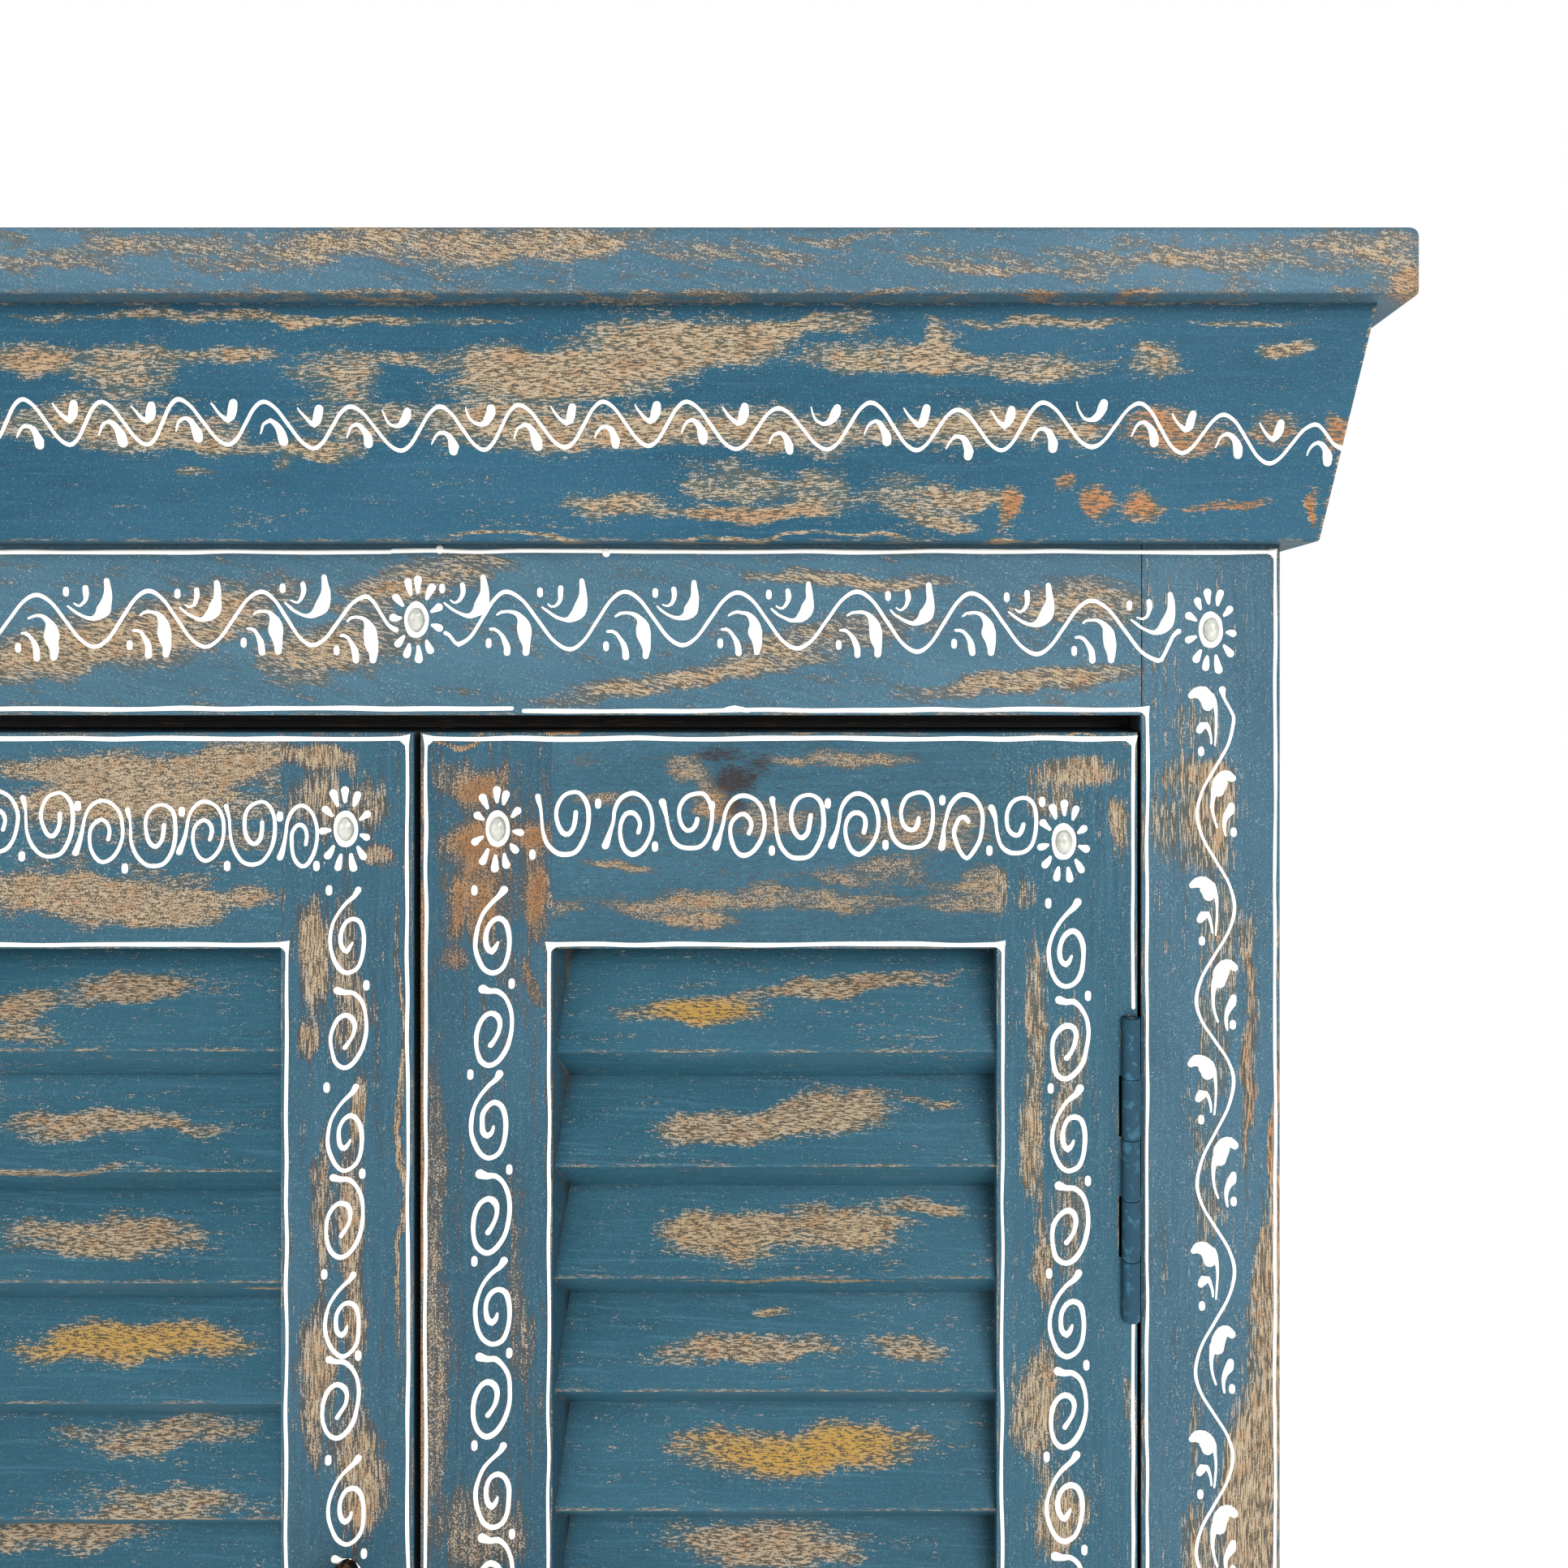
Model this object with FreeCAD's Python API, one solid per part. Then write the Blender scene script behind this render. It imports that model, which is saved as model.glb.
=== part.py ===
import FreeCAD, Part
import math
import os

from FreeCAD import Matrix, Vector

# A painted four-door sideboard, in millimetres.
# X runs to the right, Y to the back and Z up, from the middle of its footprint on the floor.

# Whole piece
overall_height = 920.0
overall_depth = 400.0

# Top board and the slanted cornice under it
board_thickness = 22.5
board_overhang = 36.0
board_top_round = 2.8
board_bottom_round = 1.6
board_corner_round = 4.0
cornice_height = 79.7
cornice_foot_overhang = 10.4
cornice_head_overhang = 25.2
cornice_foot_round = 1.2

# Posts, stile and rails of the carcass
post_width = 50.5
post_depth = 45.0
arris_round = 1.1
rail_reveal = 62.0
bottom_rail_height = 56.0
side_rail_thickness = 22.0
back_rail_thickness = 20.0
back_rail_height = 70.0
tenon_length_share = 0.5
tenon_thickness_share = 0.36
tenon_shoulder_share = 0.12

# Panels, floor and shelves
side_panel_thickness = 12.0
side_panel_recess = 7.0
panel_groove = 6.0
back_panel_thickness = 8.0
back_panel_recess = 6.0
floor_thickness = 15.0
floor_groove = 7.0
floor_drop = 8.0
partition_thickness = 18.0
shelf_thickness = 18.0
shelf_front_setback = 62.0
shelf_height_share = 0.53
shelf_clearance = 1.0
batten_width = 18.0
batten_height = 22.0

# Doors
door_width = 260.0
door_height = 628.0
door_thickness = 28.0
door_top_gap = 6.1
door_bottom_gap = 4.0
meeting_gap = 2.2
hinge_gap = 1.2
meeting_stile_width = 48.0
hinge_stile_width = 51.0
door_rail_height = 78.5
meeting_edge_bevel = 1.5
door_arris_round = 0.9
stop_clearance = 0.4
stop_depth = 15.0
stop_overlap = 16.0
stop_rise = 34.0

# Louvre slats
slat_pitch_aim = 42.0
slat_setback = 3.0
slat_back_lip = 2.6
slat_gap = 1.0
slat_nose_depth = 17.0
slat_nose_drop = 14.8
slat_housing = 6.0
slat_arris_round = 0.7
slat_drift_shares = {
    "door_1": (0.0, -0.02, 0.03, 0.01, -0.02, 0.02, 0.04, 0.0, -0.02, 0.01, 0.0),
    "door_2": (0.01, 0.03, 0.0, -0.03, -0.01, 0.02, 0.0, 0.03, 0.02, 0.0, 0.0),
    "door_3": (-0.01, 0.045, 0.015, 0.07, 0.08, 0.05, 0.04, 0.02, 0.03, 0.01, 0.0),
    "door_4": (0.0, 0.0, -0.025, -0.035, 0.005, 0.02, 0.0, -0.02, 0.01, 0.0, 0.0),
}

# Butt hinges, each with five knuckles
hinge_height = 109.0
hinge_end_distance = 102.6
hinge_leaf_thickness = 1.2
hinge_leaf_depth = 24.0
hinge_axis_setback = 3.9
hinge_axis_proud = 1.5
barrel_radius = 3.3
pin_radius = 1.5
pin_clearance = 0.05
knuckle_gap = 0.3
knuckle_count = 5
notch_clearance = 1.1
door_knuckle_clearance = 0.15
hinge_screw_radius = 1.4
hinge_screw_head_radius = 2.6
hinge_screw_length = 15.0
hinge_screw_clearance = 0.06
hinge_screw_spread_share = 0.36

# Oval iron knobs on a stud with a nut behind
knob_projection = 25.0
knob_collar_radius = 5.1
knob_collar_thickness = 2.4
knob_neck_radius = 4.0
knob_neck_length = 9.0
knob_head_radius = 10.4
knob_head_thickness = 13.0
knob_oval_share = 1.36
knob_stud_radius = 2.0
knob_stud_clearance = 0.08
knob_nut_radius = 4.0
knob_nut_thickness = 3.0
knob_rise = {"door_1": 2.0, "door_2": 5.0, "door_3": 8.0, "door_4": 0.0}

# Oval glass stones set on the faces
stone_width = 6.2
stone_height = 8.8
stone_rise = 2.2
stone_meeting_share = {"door_1": 0.53, "door_2": 0.56, "door_3": 0.51, "door_4": 0.59}
stone_hinge_share = 0.525
stone_drop_meeting_share = 0.445
stone_drop_hinge_share = 0.505
stone_frame_rise_shares = (0.50, 0.52, 0.48, 0.56, 0.50)

# Working values
cut_overrun = 1.0
edge_tolerance = 0.3
full_turn = 360.0
sphere_radius = 1.0
dome_bands = 3
dome_wedges = 4

# Places that follow from the sizes above
pair_opening = 2 * door_width + meeting_gap + 2 * hinge_gap
frame_width = 3 * post_width + 2 * pair_opening
overall_width = frame_width + 2 * board_overhang
half_frame = frame_width / 2
face_y = -overall_depth / 2 + board_overhang
back_y = overall_depth / 2
rail_thickness = door_thickness + stop_clearance
board_bottom_z = overall_height - board_thickness
cornice_foot_z = board_bottom_z - cornice_height
top_rail_bottom_z = cornice_foot_z - rail_reveal
door_top_z = top_rail_bottom_z - door_top_gap
door_bottom_z = door_top_z - door_height
bottom_rail_top_z = door_bottom_z - door_bottom_gap
bottom_rail_bottom_z = bottom_rail_top_z - bottom_rail_height
floor_top_z = bottom_rail_top_z - floor_drop
post_inner_x = half_frame - post_width
side_panel_outer_x = half_frame - side_panel_recess
side_panel_inner_x = side_panel_outer_x - side_panel_thickness
back_panel_outer_y = back_y - back_panel_recess
back_panel_inner_y = back_panel_outer_y - back_panel_thickness
pair_centre_x = post_width / 2 + pair_opening / 2
louvre_top_z = door_top_z - door_rail_height
louvre_bottom_z = door_bottom_z + door_rail_height
louvre_height = louvre_top_z - louvre_bottom_z
slat_count = max(2, int(round(louvre_height / slat_pitch_aim)))
slat_pitch = (louvre_height - slat_nose_drop + slat_back_lip + slat_gap) / slat_count

# The door's own frame: the hinge axis is at X = 0, Y = 0, and the door runs to negative X
door_edge_x = hinge_axis_setback - hinge_gap
free_edge_x = door_edge_x - door_width
door_front_y = hinge_axis_proud
door_back_y = door_front_y + door_thickness
meeting_inner_x = free_edge_x + meeting_stile_width
hinge_inner_x = door_edge_x - hinge_stile_width
leaf_back_y = door_front_y + hinge_leaf_depth
knuckle_length = hinge_height / knuckle_count
hinge_centres_z = (
    door_top_z - hinge_end_distance - hinge_height / 2,
    door_bottom_z + hinge_end_distance + hinge_height / 2,
)

# Each door: its name, the X of the frame edge that carries it, and 1 if it hangs on its right
door_places = (
    ("door_1", -post_inner_x, -1),
    ("door_2", -post_width / 2, 1),
    ("door_3", post_width / 2, -1),
    ("door_4", post_inner_x, 1),
)


def block(x0, x1, y0, y1, z0, z1):
    """A rectangular piece between two corners."""
    return Part.makeBox(x1 - x0, y1 - y0, z1 - z0, Vector(x0, y0, z0))


def prism(points, direction):
    """A straight piece with the given outline, pushed along a direction."""
    outline = Part.makePolygon(points + points[:1])
    return Part.Face(outline).extrude(direction)


def cut_by(piece, others):
    """The piece with every other solid taken out of it."""
    for other in others:
        piece = piece.cut(other)
    return piece


def upright_edges(shape, front_y):
    """The upright edges of a shape that lie in its front plane."""
    found = []
    for edge in shape.Edges:
        ends = [vertex.Point for vertex in edge.Vertexes]
        upright = abs(ends[0].z - ends[-1].z) > edge_tolerance > abs(ends[0].x - ends[-1].x)
        if upright and all(abs(end.y - front_y) < edge_tolerance for end in ends):
            found.append(edge)
    return found


def level_edges(shape, height):
    """The edges of a shape at one height, apart from the one along the back."""
    found = []
    for edge in shape.Edges:
        ends = [vertex.Point for vertex in edge.Vertexes]
        at_height = all(abs(end.z - height) < edge_tolerance for end in ends)
        at_back = all(abs(end.y - back_y) < edge_tolerance for end in ends)
        if at_height and not at_back:
            found.append(edge)
    return found


def long_edges(shape, front_y):
    """The level edges of a shape that run along X in its front plane."""
    found = []
    for edge in shape.Edges:
        ends = [vertex.Point for vertex in edge.Vertexes]
        along = abs(ends[0].x - ends[-1].x) > edge_tolerance > abs(ends[0].z - ends[-1].z)
        if along and all(abs(end.y - front_y) < edge_tolerance for end in ends):
            found.append(edge)
    return found


def softened(shape, front_y, radius):
    """A shape whose upright front edges are slightly rounded, as sanded wood is."""
    return shape.makeFillet(radius, upright_edges(shape, front_y))


def softened_outside(shape, front_y, radius, joint_x):
    """A shape whose front edges are rounded, but for the side where the rails lie flush with it."""
    sides = [
        edge for edge in upright_edges(shape, front_y)
        if abs(edge.Vertexes[0].Point.x - joint_x) > edge_tolerance]
    return shape.makeFillet(radius, sides + long_edges(shape, front_y))


def in_place(shape, edge_x, hand):
    """A door piece moved from the door's own frame to the frame edge that carries it."""
    if hand < 0:
        shape = shape.mirror(Vector(0, 0, 0), Vector(1, 0, 0))
    moved = shape.copy()
    moved.translate(Vector(edge_x - hand * hinge_axis_setback, face_y - hinge_axis_proud, 0))
    return moved


def save(name, pieces):
    """Write one sub-part, with its separate pieces side by side."""
    solids = []
    for piece in pieces:
        solids.extend(piece.Solids)
    shape = solids[0] if len(solids) == 1 else Part.makeCompound(solids)
    shape.exportStep("parts/" + name + ".step")


def rail_along_x(x0, x1, y0, y1, z0, z1, reach, ease=0):
    """A rail between two uprights with a tenon of the given reach at each end and eased front edges."""
    shoulder = (z1 - z0) * tenon_shoulder_share
    inset = (y1 - y0) * (1 - tenon_thickness_share) / 2
    tenon = block(x0 - reach, x1 + reach, y0 + inset, y1 - inset, z0 + shoulder, z1 - shoulder)
    body = block(x0, x1, y0, y1, z0, z1)
    if ease:
        body = body.makeFillet(ease, long_edges(body, y0))
    return body.fuse(tenon).removeSplitter()


def rail_along_y(x0, x1, y0, y1, z0, z1, reach):
    """A side rail between two posts with a tenon of the given reach at each end."""
    shoulder = (z1 - z0) * tenon_shoulder_share
    inset = (x1 - x0) * (1 - tenon_thickness_share) / 2
    tenon = block(x0 + inset, x1 - inset, y0 - reach, y1 + reach, z0 + shoulder, z1 - shoulder)
    return block(x0, x1, y0, y1, z0, z1).fuse(tenon).removeSplitter()


def mirrored(shape):
    """The same piece on the other side of the cabinet."""
    return shape.mirror(Vector(0, 0, 0), Vector(1, 0, 0))


def top_board():
    """The thick top board with rounded edges and corners at the front and sides."""
    half_width = overall_width / 2
    front_y = -overall_depth / 2
    board = block(-half_width, half_width, front_y, back_y, board_bottom_z, overall_height)
    board = softened(board, front_y, board_corner_round)
    board = board.makeFillet(board_top_round, level_edges(board, overall_height))
    return board.makeFillet(board_bottom_round, level_edges(board, board_bottom_z))


def cornice_ring():
    """The slanted boards round the front and sides before they are mitred apart."""

    def outline(overhang, height):
        side = half_frame + overhang
        front = face_y - overhang
        rear = back_y + cornice_head_overhang
        return Part.makePolygon([
            Vector(-side, front, height),
            Vector(side, front, height),
            Vector(side, rear, height),
            Vector(-side, rear, height),
            Vector(-side, front, height),
        ])

    lofted = Part.makeLoft(
        [outline(cornice_foot_overhang, cornice_foot_z), outline(cornice_head_overhang, board_bottom_z)],
        True, True)
    rear_waste = block(-overall_width, overall_width, back_y, overall_depth, 0, overall_height)
    inside = block(-half_frame, half_frame, face_y, overall_depth, 0, overall_height)
    foot = [edge for edge in lofted.Edges if all(
        abs(vertex.Point.z - cornice_foot_z) < edge_tolerance for vertex in edge.Vertexes)]
    return lofted.makeFillet(cornice_foot_round, foot).cut(rear_waste).cut(inside)


def cornice_pieces():
    """The front cornice and its two returns, cut to the mitres at the front corners."""
    ring = cornice_ring()
    reach = cornice_head_overhang + cut_overrun
    rise = Vector(0, 0, overall_height)
    front_wedge = prism([
        Vector(-half_frame, face_y, 0),
        Vector(-half_frame - reach, face_y - reach, 0),
        Vector(half_frame + reach, face_y - reach, 0),
        Vector(half_frame, face_y, 0),
    ], rise)
    right_wedge = prism([
        Vector(half_frame, face_y, 0),
        Vector(half_frame + reach, face_y - reach, 0),
        Vector(half_frame + reach, back_y, 0),
        Vector(half_frame, back_y, 0),
    ], rise)
    right = ring.common(right_wedge)
    return ring.common(front_wedge), mirrored(right), right


def frame_rails():
    """The long front rails above and below the doors, with tenons into the posts."""
    reach = post_width * tenon_length_share
    low_y, high_y = face_y, face_y + rail_thickness
    top = rail_along_x(
        -post_inner_x, post_inner_x, low_y, high_y, top_rail_bottom_z, board_bottom_z, reach, arris_round)
    bottom = rail_along_x(
        -post_inner_x, post_inner_x, low_y, high_y, bottom_rail_bottom_z, bottom_rail_top_z, reach,
        arris_round)
    return top, bottom


def back_rails():
    """The rails at the back, between the back posts."""
    reach = post_width * tenon_length_share
    low_y, high_y = back_y - back_panel_recess - back_rail_thickness, back_y - back_panel_recess
    top = rail_along_x(
        -post_inner_x, post_inner_x, low_y, high_y, board_bottom_z - back_rail_height, board_bottom_z, reach)
    bottom = rail_along_x(
        -post_inner_x, post_inner_x, low_y, high_y, bottom_rail_bottom_z, bottom_rail_top_z, reach)
    return top, bottom


def side_rails():
    """The upper and lower rails of the right side, flush with the outside of the posts."""
    reach = post_depth * tenon_length_share * tenon_length_share
    inner_x, outer_x = half_frame - side_rail_thickness, half_frame
    low_y, high_y = face_y + post_depth, back_y - post_depth
    top = rail_along_y(inner_x, outer_x, low_y, high_y, top_rail_bottom_z, board_bottom_z, reach)
    bottom = rail_along_y(inner_x, outer_x, low_y, high_y, bottom_rail_bottom_z, bottom_rail_top_z, reach)
    return top, bottom


def side_panel():
    """The panel of the right side, held in grooves in the posts and side rails."""
    return block(
        side_panel_inner_x, side_panel_outer_x,
        face_y + post_depth - panel_groove, back_y - post_depth + panel_groove,
        bottom_rail_top_z - panel_groove, top_rail_bottom_z + panel_groove)


def back_panel():
    """The thin back, held in grooves in the back posts and rails."""
    return block(
        -post_inner_x - panel_groove, post_inner_x + panel_groove,
        back_panel_inner_y, back_panel_outer_y,
        bottom_rail_top_z - panel_groove, board_bottom_z - back_rail_height + panel_groove)


def post(y0, y1, front_y, neighbours):
    """A corner post that runs down to the floor, with the joints of its neighbours cut in it."""
    upright = block(post_inner_x, half_frame, y0, y1, 0, board_bottom_z)
    return cut_by(softened(upright, front_y, arris_round), neighbours)


def floor_board():
    """The cabinet floor, let into the rails all round and notched round the posts."""
    inner_side = half_frame - side_rail_thickness + floor_groove
    low_y = face_y + rail_thickness - floor_groove
    high_y = back_y - back_panel_recess - back_rail_thickness + floor_groove
    board = block(-inner_side, inner_side, low_y, high_y, floor_top_z - floor_thickness, floor_top_z)
    notches = [
        block(post_inner_x, half_frame, face_y, face_y + post_depth, 0, board_bottom_z),
        block(post_inner_x, half_frame, back_y - post_depth, back_y, 0, board_bottom_z),
    ]
    return cut_by(board, notches + [mirrored(notch) for notch in notches])


def centre_stile(rails):
    """The upright between the two pairs of doors, tenoned into both long rails."""
    half = post_width / 2
    low_y, high_y = face_y, face_y + rail_thickness
    stile = block(-half, half, low_y, high_y, bottom_rail_top_z, top_rail_bottom_z)
    stile = softened(stile, face_y, arris_round)
    inset_y = rail_thickness * (1 - tenon_thickness_share) / 2
    inset_x = post_width * tenon_shoulder_share
    reach = bottom_rail_height * tenon_length_share
    tenon = block(
        -half + inset_x, half - inset_x, low_y + inset_y, high_y - inset_y,
        bottom_rail_top_z - reach, top_rail_bottom_z + reach)
    return stile.fuse(tenon)


def partition():
    """The upright board between the two cupboards, from the floor to the top."""
    half = partition_thickness / 2
    panel = block(-half, half, face_y + rail_thickness, back_panel_inner_y, floor_top_z, board_bottom_z)
    return cut_by(panel, frame_rails() + back_rails())


def shelf_level():
    """The height of the top face of the shelves."""
    return bottom_rail_top_z + (top_rail_bottom_z - bottom_rail_top_z) * shelf_height_share


def shelf():
    """The right shelf, notched round the posts with a little play."""
    level = shelf_level()
    low_y = face_y + shelf_front_setback
    high_y = back_panel_inner_y - shelf_clearance
    board = block(
        partition_thickness / 2 + shelf_clearance, side_panel_inner_x - shelf_clearance,
        low_y, high_y, level - shelf_thickness, level)
    notch = block(
        post_inner_x - shelf_clearance, half_frame,
        back_y - post_depth - shelf_clearance, back_y, 0, board_bottom_z)
    return board.cut(notch)


def shelf_battens():
    """The strips under the right shelf, one on the partition and one across the two posts."""
    top = shelf_level() - shelf_thickness
    low_y = face_y + rail_thickness + stop_depth
    half = partition_thickness / 2
    inner = block(half, half + batten_width, low_y, back_panel_inner_y, top - batten_height, top)
    outer = block(
        post_inner_x - batten_width, post_inner_x, low_y, back_panel_inner_y, top - batten_height, top)
    return [inner, outer]


def door_stops():
    """The strips behind the top rail that the doors shut against."""
    low_y = face_y + rail_thickness
    right = block(
        partition_thickness / 2, post_inner_x, low_y, low_y + stop_depth,
        top_rail_bottom_z - door_top_gap - stop_overlap, top_rail_bottom_z + stop_rise)
    return [mirrored(right), right]


def barrel_part(centre_z, first, last, radius, grow):
    """A length of the hinge barrel from one knuckle to another, as a plain round."""
    start = centre_z - hinge_height / 2 + first * knuckle_length - grow
    length = (last - first) * knuckle_length + 2 * grow
    return Part.makeCylinder(radius, length, Vector(0, 0, start))


def screw_heights(centre_z):
    """The heights of the three screws in one hinge leaf."""
    spread = hinge_height * hinge_screw_spread_share
    return [centre_z - spread, centre_z, centre_z + spread]


def screw(face_x, sense, centre_z, play):
    """A countersunk screw that starts flush in a leaf and runs into the wood."""
    middle_y = (hinge_axis_proud + barrel_radius + leaf_back_y) / 2
    start = Vector(face_x, middle_y, centre_z)
    along = Vector(sense, 0, 0)
    head = Part.makeCone(
        hinge_screw_head_radius + play, hinge_screw_radius + play, hinge_leaf_thickness, start, along)
    shank = Part.makeCylinder(hinge_screw_radius + play, hinge_screw_length + play, start, along)
    return head.fuse(shank).removeSplitter()


def hinge_plate(x0, x1, centre_z):
    """The flat plate of one hinge leaf."""
    half = hinge_height / 2
    return block(x0, x1, door_front_y, leaf_back_y, centre_z - half, centre_z + half)


def hinge_web(centre_z, number):
    """The short bridge from a frame knuckle to the frame leaf."""
    start = centre_z - hinge_height / 2 + number * knuckle_length + knuckle_gap / 2
    return block(
        pin_radius + pin_clearance + knuckle_gap, hinge_axis_setback + hinge_leaf_thickness,
        door_front_y, door_front_y + hinge_leaf_thickness,
        start, start + knuckle_length - knuckle_gap)


def hinge_screws(face_x, sense, centre_z, play):
    """The three screws of one hinge leaf, or with some play the holes that take them."""
    return [screw(face_x, sense, height, play) for height in screw_heights(centre_z)]


def hinge_parts(centre_z):
    """One hinge in the door's own frame: both leaves, the pin, both sets of screws and the cuts."""
    door_plate = hinge_plate(door_edge_x - hinge_leaf_thickness, door_edge_x, centre_z)
    frame_plate = hinge_plate(hinge_axis_setback, hinge_axis_setback + hinge_leaf_thickness, centre_z)
    door_leaf, frame_leaf = door_plate, frame_plate
    notches = []
    for number in range(knuckle_count):
        knuckle = barrel_part(centre_z, number, number + 1, barrel_radius, -knuckle_gap / 2)
        if number % 2 == 0:
            snug = barrel_radius + door_knuckle_clearance
            notches.append(barrel_part(centre_z, number, number + 1, snug, 0))
            door_leaf = door_leaf.fuse(knuckle)
        else:
            room = barrel_part(
                centre_z, number, number + 1, barrel_radius + notch_clearance, knuckle_gap / 2)
            notches.append(room)
            door_leaf = door_leaf.cut(room)
            frame_leaf = frame_leaf.fuse(knuckle).fuse(hinge_web(centre_z, number))
    bore = barrel_part(centre_z, 0, knuckle_count, pin_radius + pin_clearance, cut_overrun)
    door_holes = hinge_screws(door_edge_x, -1, centre_z, hinge_screw_clearance)
    frame_holes = hinge_screws(hinge_axis_setback, 1, centre_z, hinge_screw_clearance)
    return {
        "door_leaf": cut_by(door_leaf, [bore] + door_holes).removeSplitter(),
        "frame_leaf": cut_by(frame_leaf, [bore] + frame_holes).removeSplitter(),
        "pin": barrel_part(centre_z, 0, knuckle_count, pin_radius, 0),
        "door_screws": hinge_screws(door_edge_x, -1, centre_z, 0),
        "frame_screws": hinge_screws(hinge_axis_setback, 1, centre_z, 0),
        "door_cuts": [door_plate] + notches + door_holes,
        "frame_cuts": [frame_plate] + frame_holes,
    }


def slats(name):
    """The fixed louvre slats of one door, each reaching up behind the one above it."""
    drift = slat_drift_shares[name]
    pieces = []
    above = louvre_top_z
    x0 = meeting_inner_x - slat_housing
    length = hinge_inner_x - meeting_inner_x + 2 * slat_housing
    for number in range(slat_count):
        shift = drift[number % len(drift)] * slat_pitch
        arris = louvre_top_z - (number + 1) * slat_pitch + slat_back_lip + slat_gap - shift
        nose_y = door_front_y + slat_setback
        outline = [
            Vector(x0, nose_y, arris),
            Vector(x0, door_back_y, above),
            Vector(x0, door_back_y, arris - slat_back_lip),
            Vector(x0, nose_y + slat_nose_depth, arris - slat_nose_drop),
        ]
        slat = prism(outline, Vector(length, 0, 0))
        pieces.append(slat.makeFillet(slat_arris_round, long_edges(slat, nose_y)))
        above = arris - slat_back_lip - slat_gap
    return pieces


def door_rails():
    """The upper and lower rails of a door, with tenons into its stiles."""
    reach = meeting_stile_width * tenon_length_share
    inner, outer = meeting_inner_x, hinge_inner_x
    front, back = door_front_y, door_back_y
    top = rail_along_x(inner, outer, front, back, louvre_top_z, door_top_z, reach, door_arris_round)
    bottom = rail_along_x(inner, outer, front, back, door_bottom_z, louvre_bottom_z, reach, door_arris_round)
    return top, bottom


def hinge_stile(neighbours, hinges):
    """The door stile that carries the hinges."""
    stile = block(hinge_inner_x, door_edge_x, door_front_y, door_back_y, door_bottom_z, door_top_z)
    cuts = [cut for hinge in hinges for cut in hinge["door_cuts"]]
    return cut_by(softened_outside(stile, door_front_y, door_arris_round, hinge_inner_x), neighbours + cuts)


def meeting_stile(neighbours, knob_z):
    """The door stile at the middle of a pair, relieved at the back so that it swings clear."""
    outline = [
        Vector(free_edge_x, door_front_y, door_bottom_z),
        Vector(meeting_inner_x, door_front_y, door_bottom_z),
        Vector(meeting_inner_x, door_back_y, door_bottom_z),
        Vector(free_edge_x + meeting_edge_bevel, door_back_y, door_bottom_z),
    ]
    stile = prism(outline, Vector(0, 0, door_height))
    stile = softened_outside(stile, door_front_y, door_arris_round, meeting_inner_x)
    hole = Part.makeCylinder(
        knob_stud_radius + knob_stud_clearance, door_thickness + 2 * cut_overrun,
        Vector(free_edge_x + meeting_stile_width / 2, door_front_y - cut_overrun, knob_z), Vector(0, 1, 0))
    return cut_by(stile, neighbours + [hole])


def knob(knob_z):
    """An oval knob with a collar, a waist and a domed head, its stud, and the nut behind."""
    collar_y = -knob_collar_thickness
    neck_y = collar_y - knob_neck_length
    widest_y = -knob_projection + knob_head_thickness / 2
    inner, outer = knob_neck_radius, knob_head_radius
    edges = [
        Part.LineSegment(Vector(0, 0, 0), Vector(knob_collar_radius, 0, 0)),
        Part.LineSegment(Vector(knob_collar_radius, 0, 0), Vector(knob_collar_radius, collar_y, 0)),
        Part.Arc(
            Vector(knob_collar_radius, collar_y, 0),
            Vector(inner, (collar_y + neck_y) / 2, 0),
            Vector((inner + knob_collar_radius) / 2, neck_y, 0)),
        Part.Arc(
            Vector((inner + knob_collar_radius) / 2, neck_y, 0),
            Vector((inner + 2 * outer) / 3, (neck_y + 2 * widest_y) / 3 + knob_collar_thickness / 2, 0),
            Vector(outer, widest_y, 0)),
        Part.Arc(
            Vector(outer, widest_y, 0),
            Vector(outer * math.sqrt(1 / 2), (widest_y - knob_projection * 2) / 3, 0),
            Vector(0, -knob_projection, 0)),
        Part.LineSegment(Vector(0, -knob_projection, 0), Vector(0, 0, 0)),
    ]
    profile = Part.Wire([edge.toShape() for edge in edges])
    turned = Part.Face(profile).revolve(Vector(0, 0, 0), Vector(0, 1, 0), full_turn)
    stretch = Matrix()
    stretch.scale(1, 1, knob_oval_share)
    oval = turned.transformGeometry(stretch)
    centre = Vector(free_edge_x + meeting_stile_width / 2, door_front_y, knob_z)
    oval.translate(centre)
    stud = Part.makeCylinder(
        knob_stud_radius, door_thickness + knob_nut_thickness + knob_collar_thickness,
        centre - Vector(0, knob_collar_thickness / 2, 0), Vector(0, 1, 0))
    corners = [
        Vector(
            centre.x + knob_nut_radius * math.cos(math.radians(full_turn * side / 6)), door_back_y,
            centre.z + knob_nut_radius * math.sin(math.radians(full_turn * side / 6)))
        for side in range(6)
    ]
    nut = prism(corners, Vector(0, knob_nut_thickness, 0))
    bore = Part.makeCylinder(
        knob_stud_radius + knob_stud_clearance, knob_nut_thickness + 2 * cut_overrun,
        Vector(centre.x, door_back_y - cut_overrun, centre.z), Vector(0, 1, 0))
    return [oval.fuse(stud), nut.cut(bore)]


def ball_point(share):
    """A point on the ball's outline, that share of a full turn on from its rim."""
    angle = math.radians(full_turn * share)
    return Vector(sphere_radius * math.cos(angle), -sphere_radius * math.sin(angle), 0)


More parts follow.
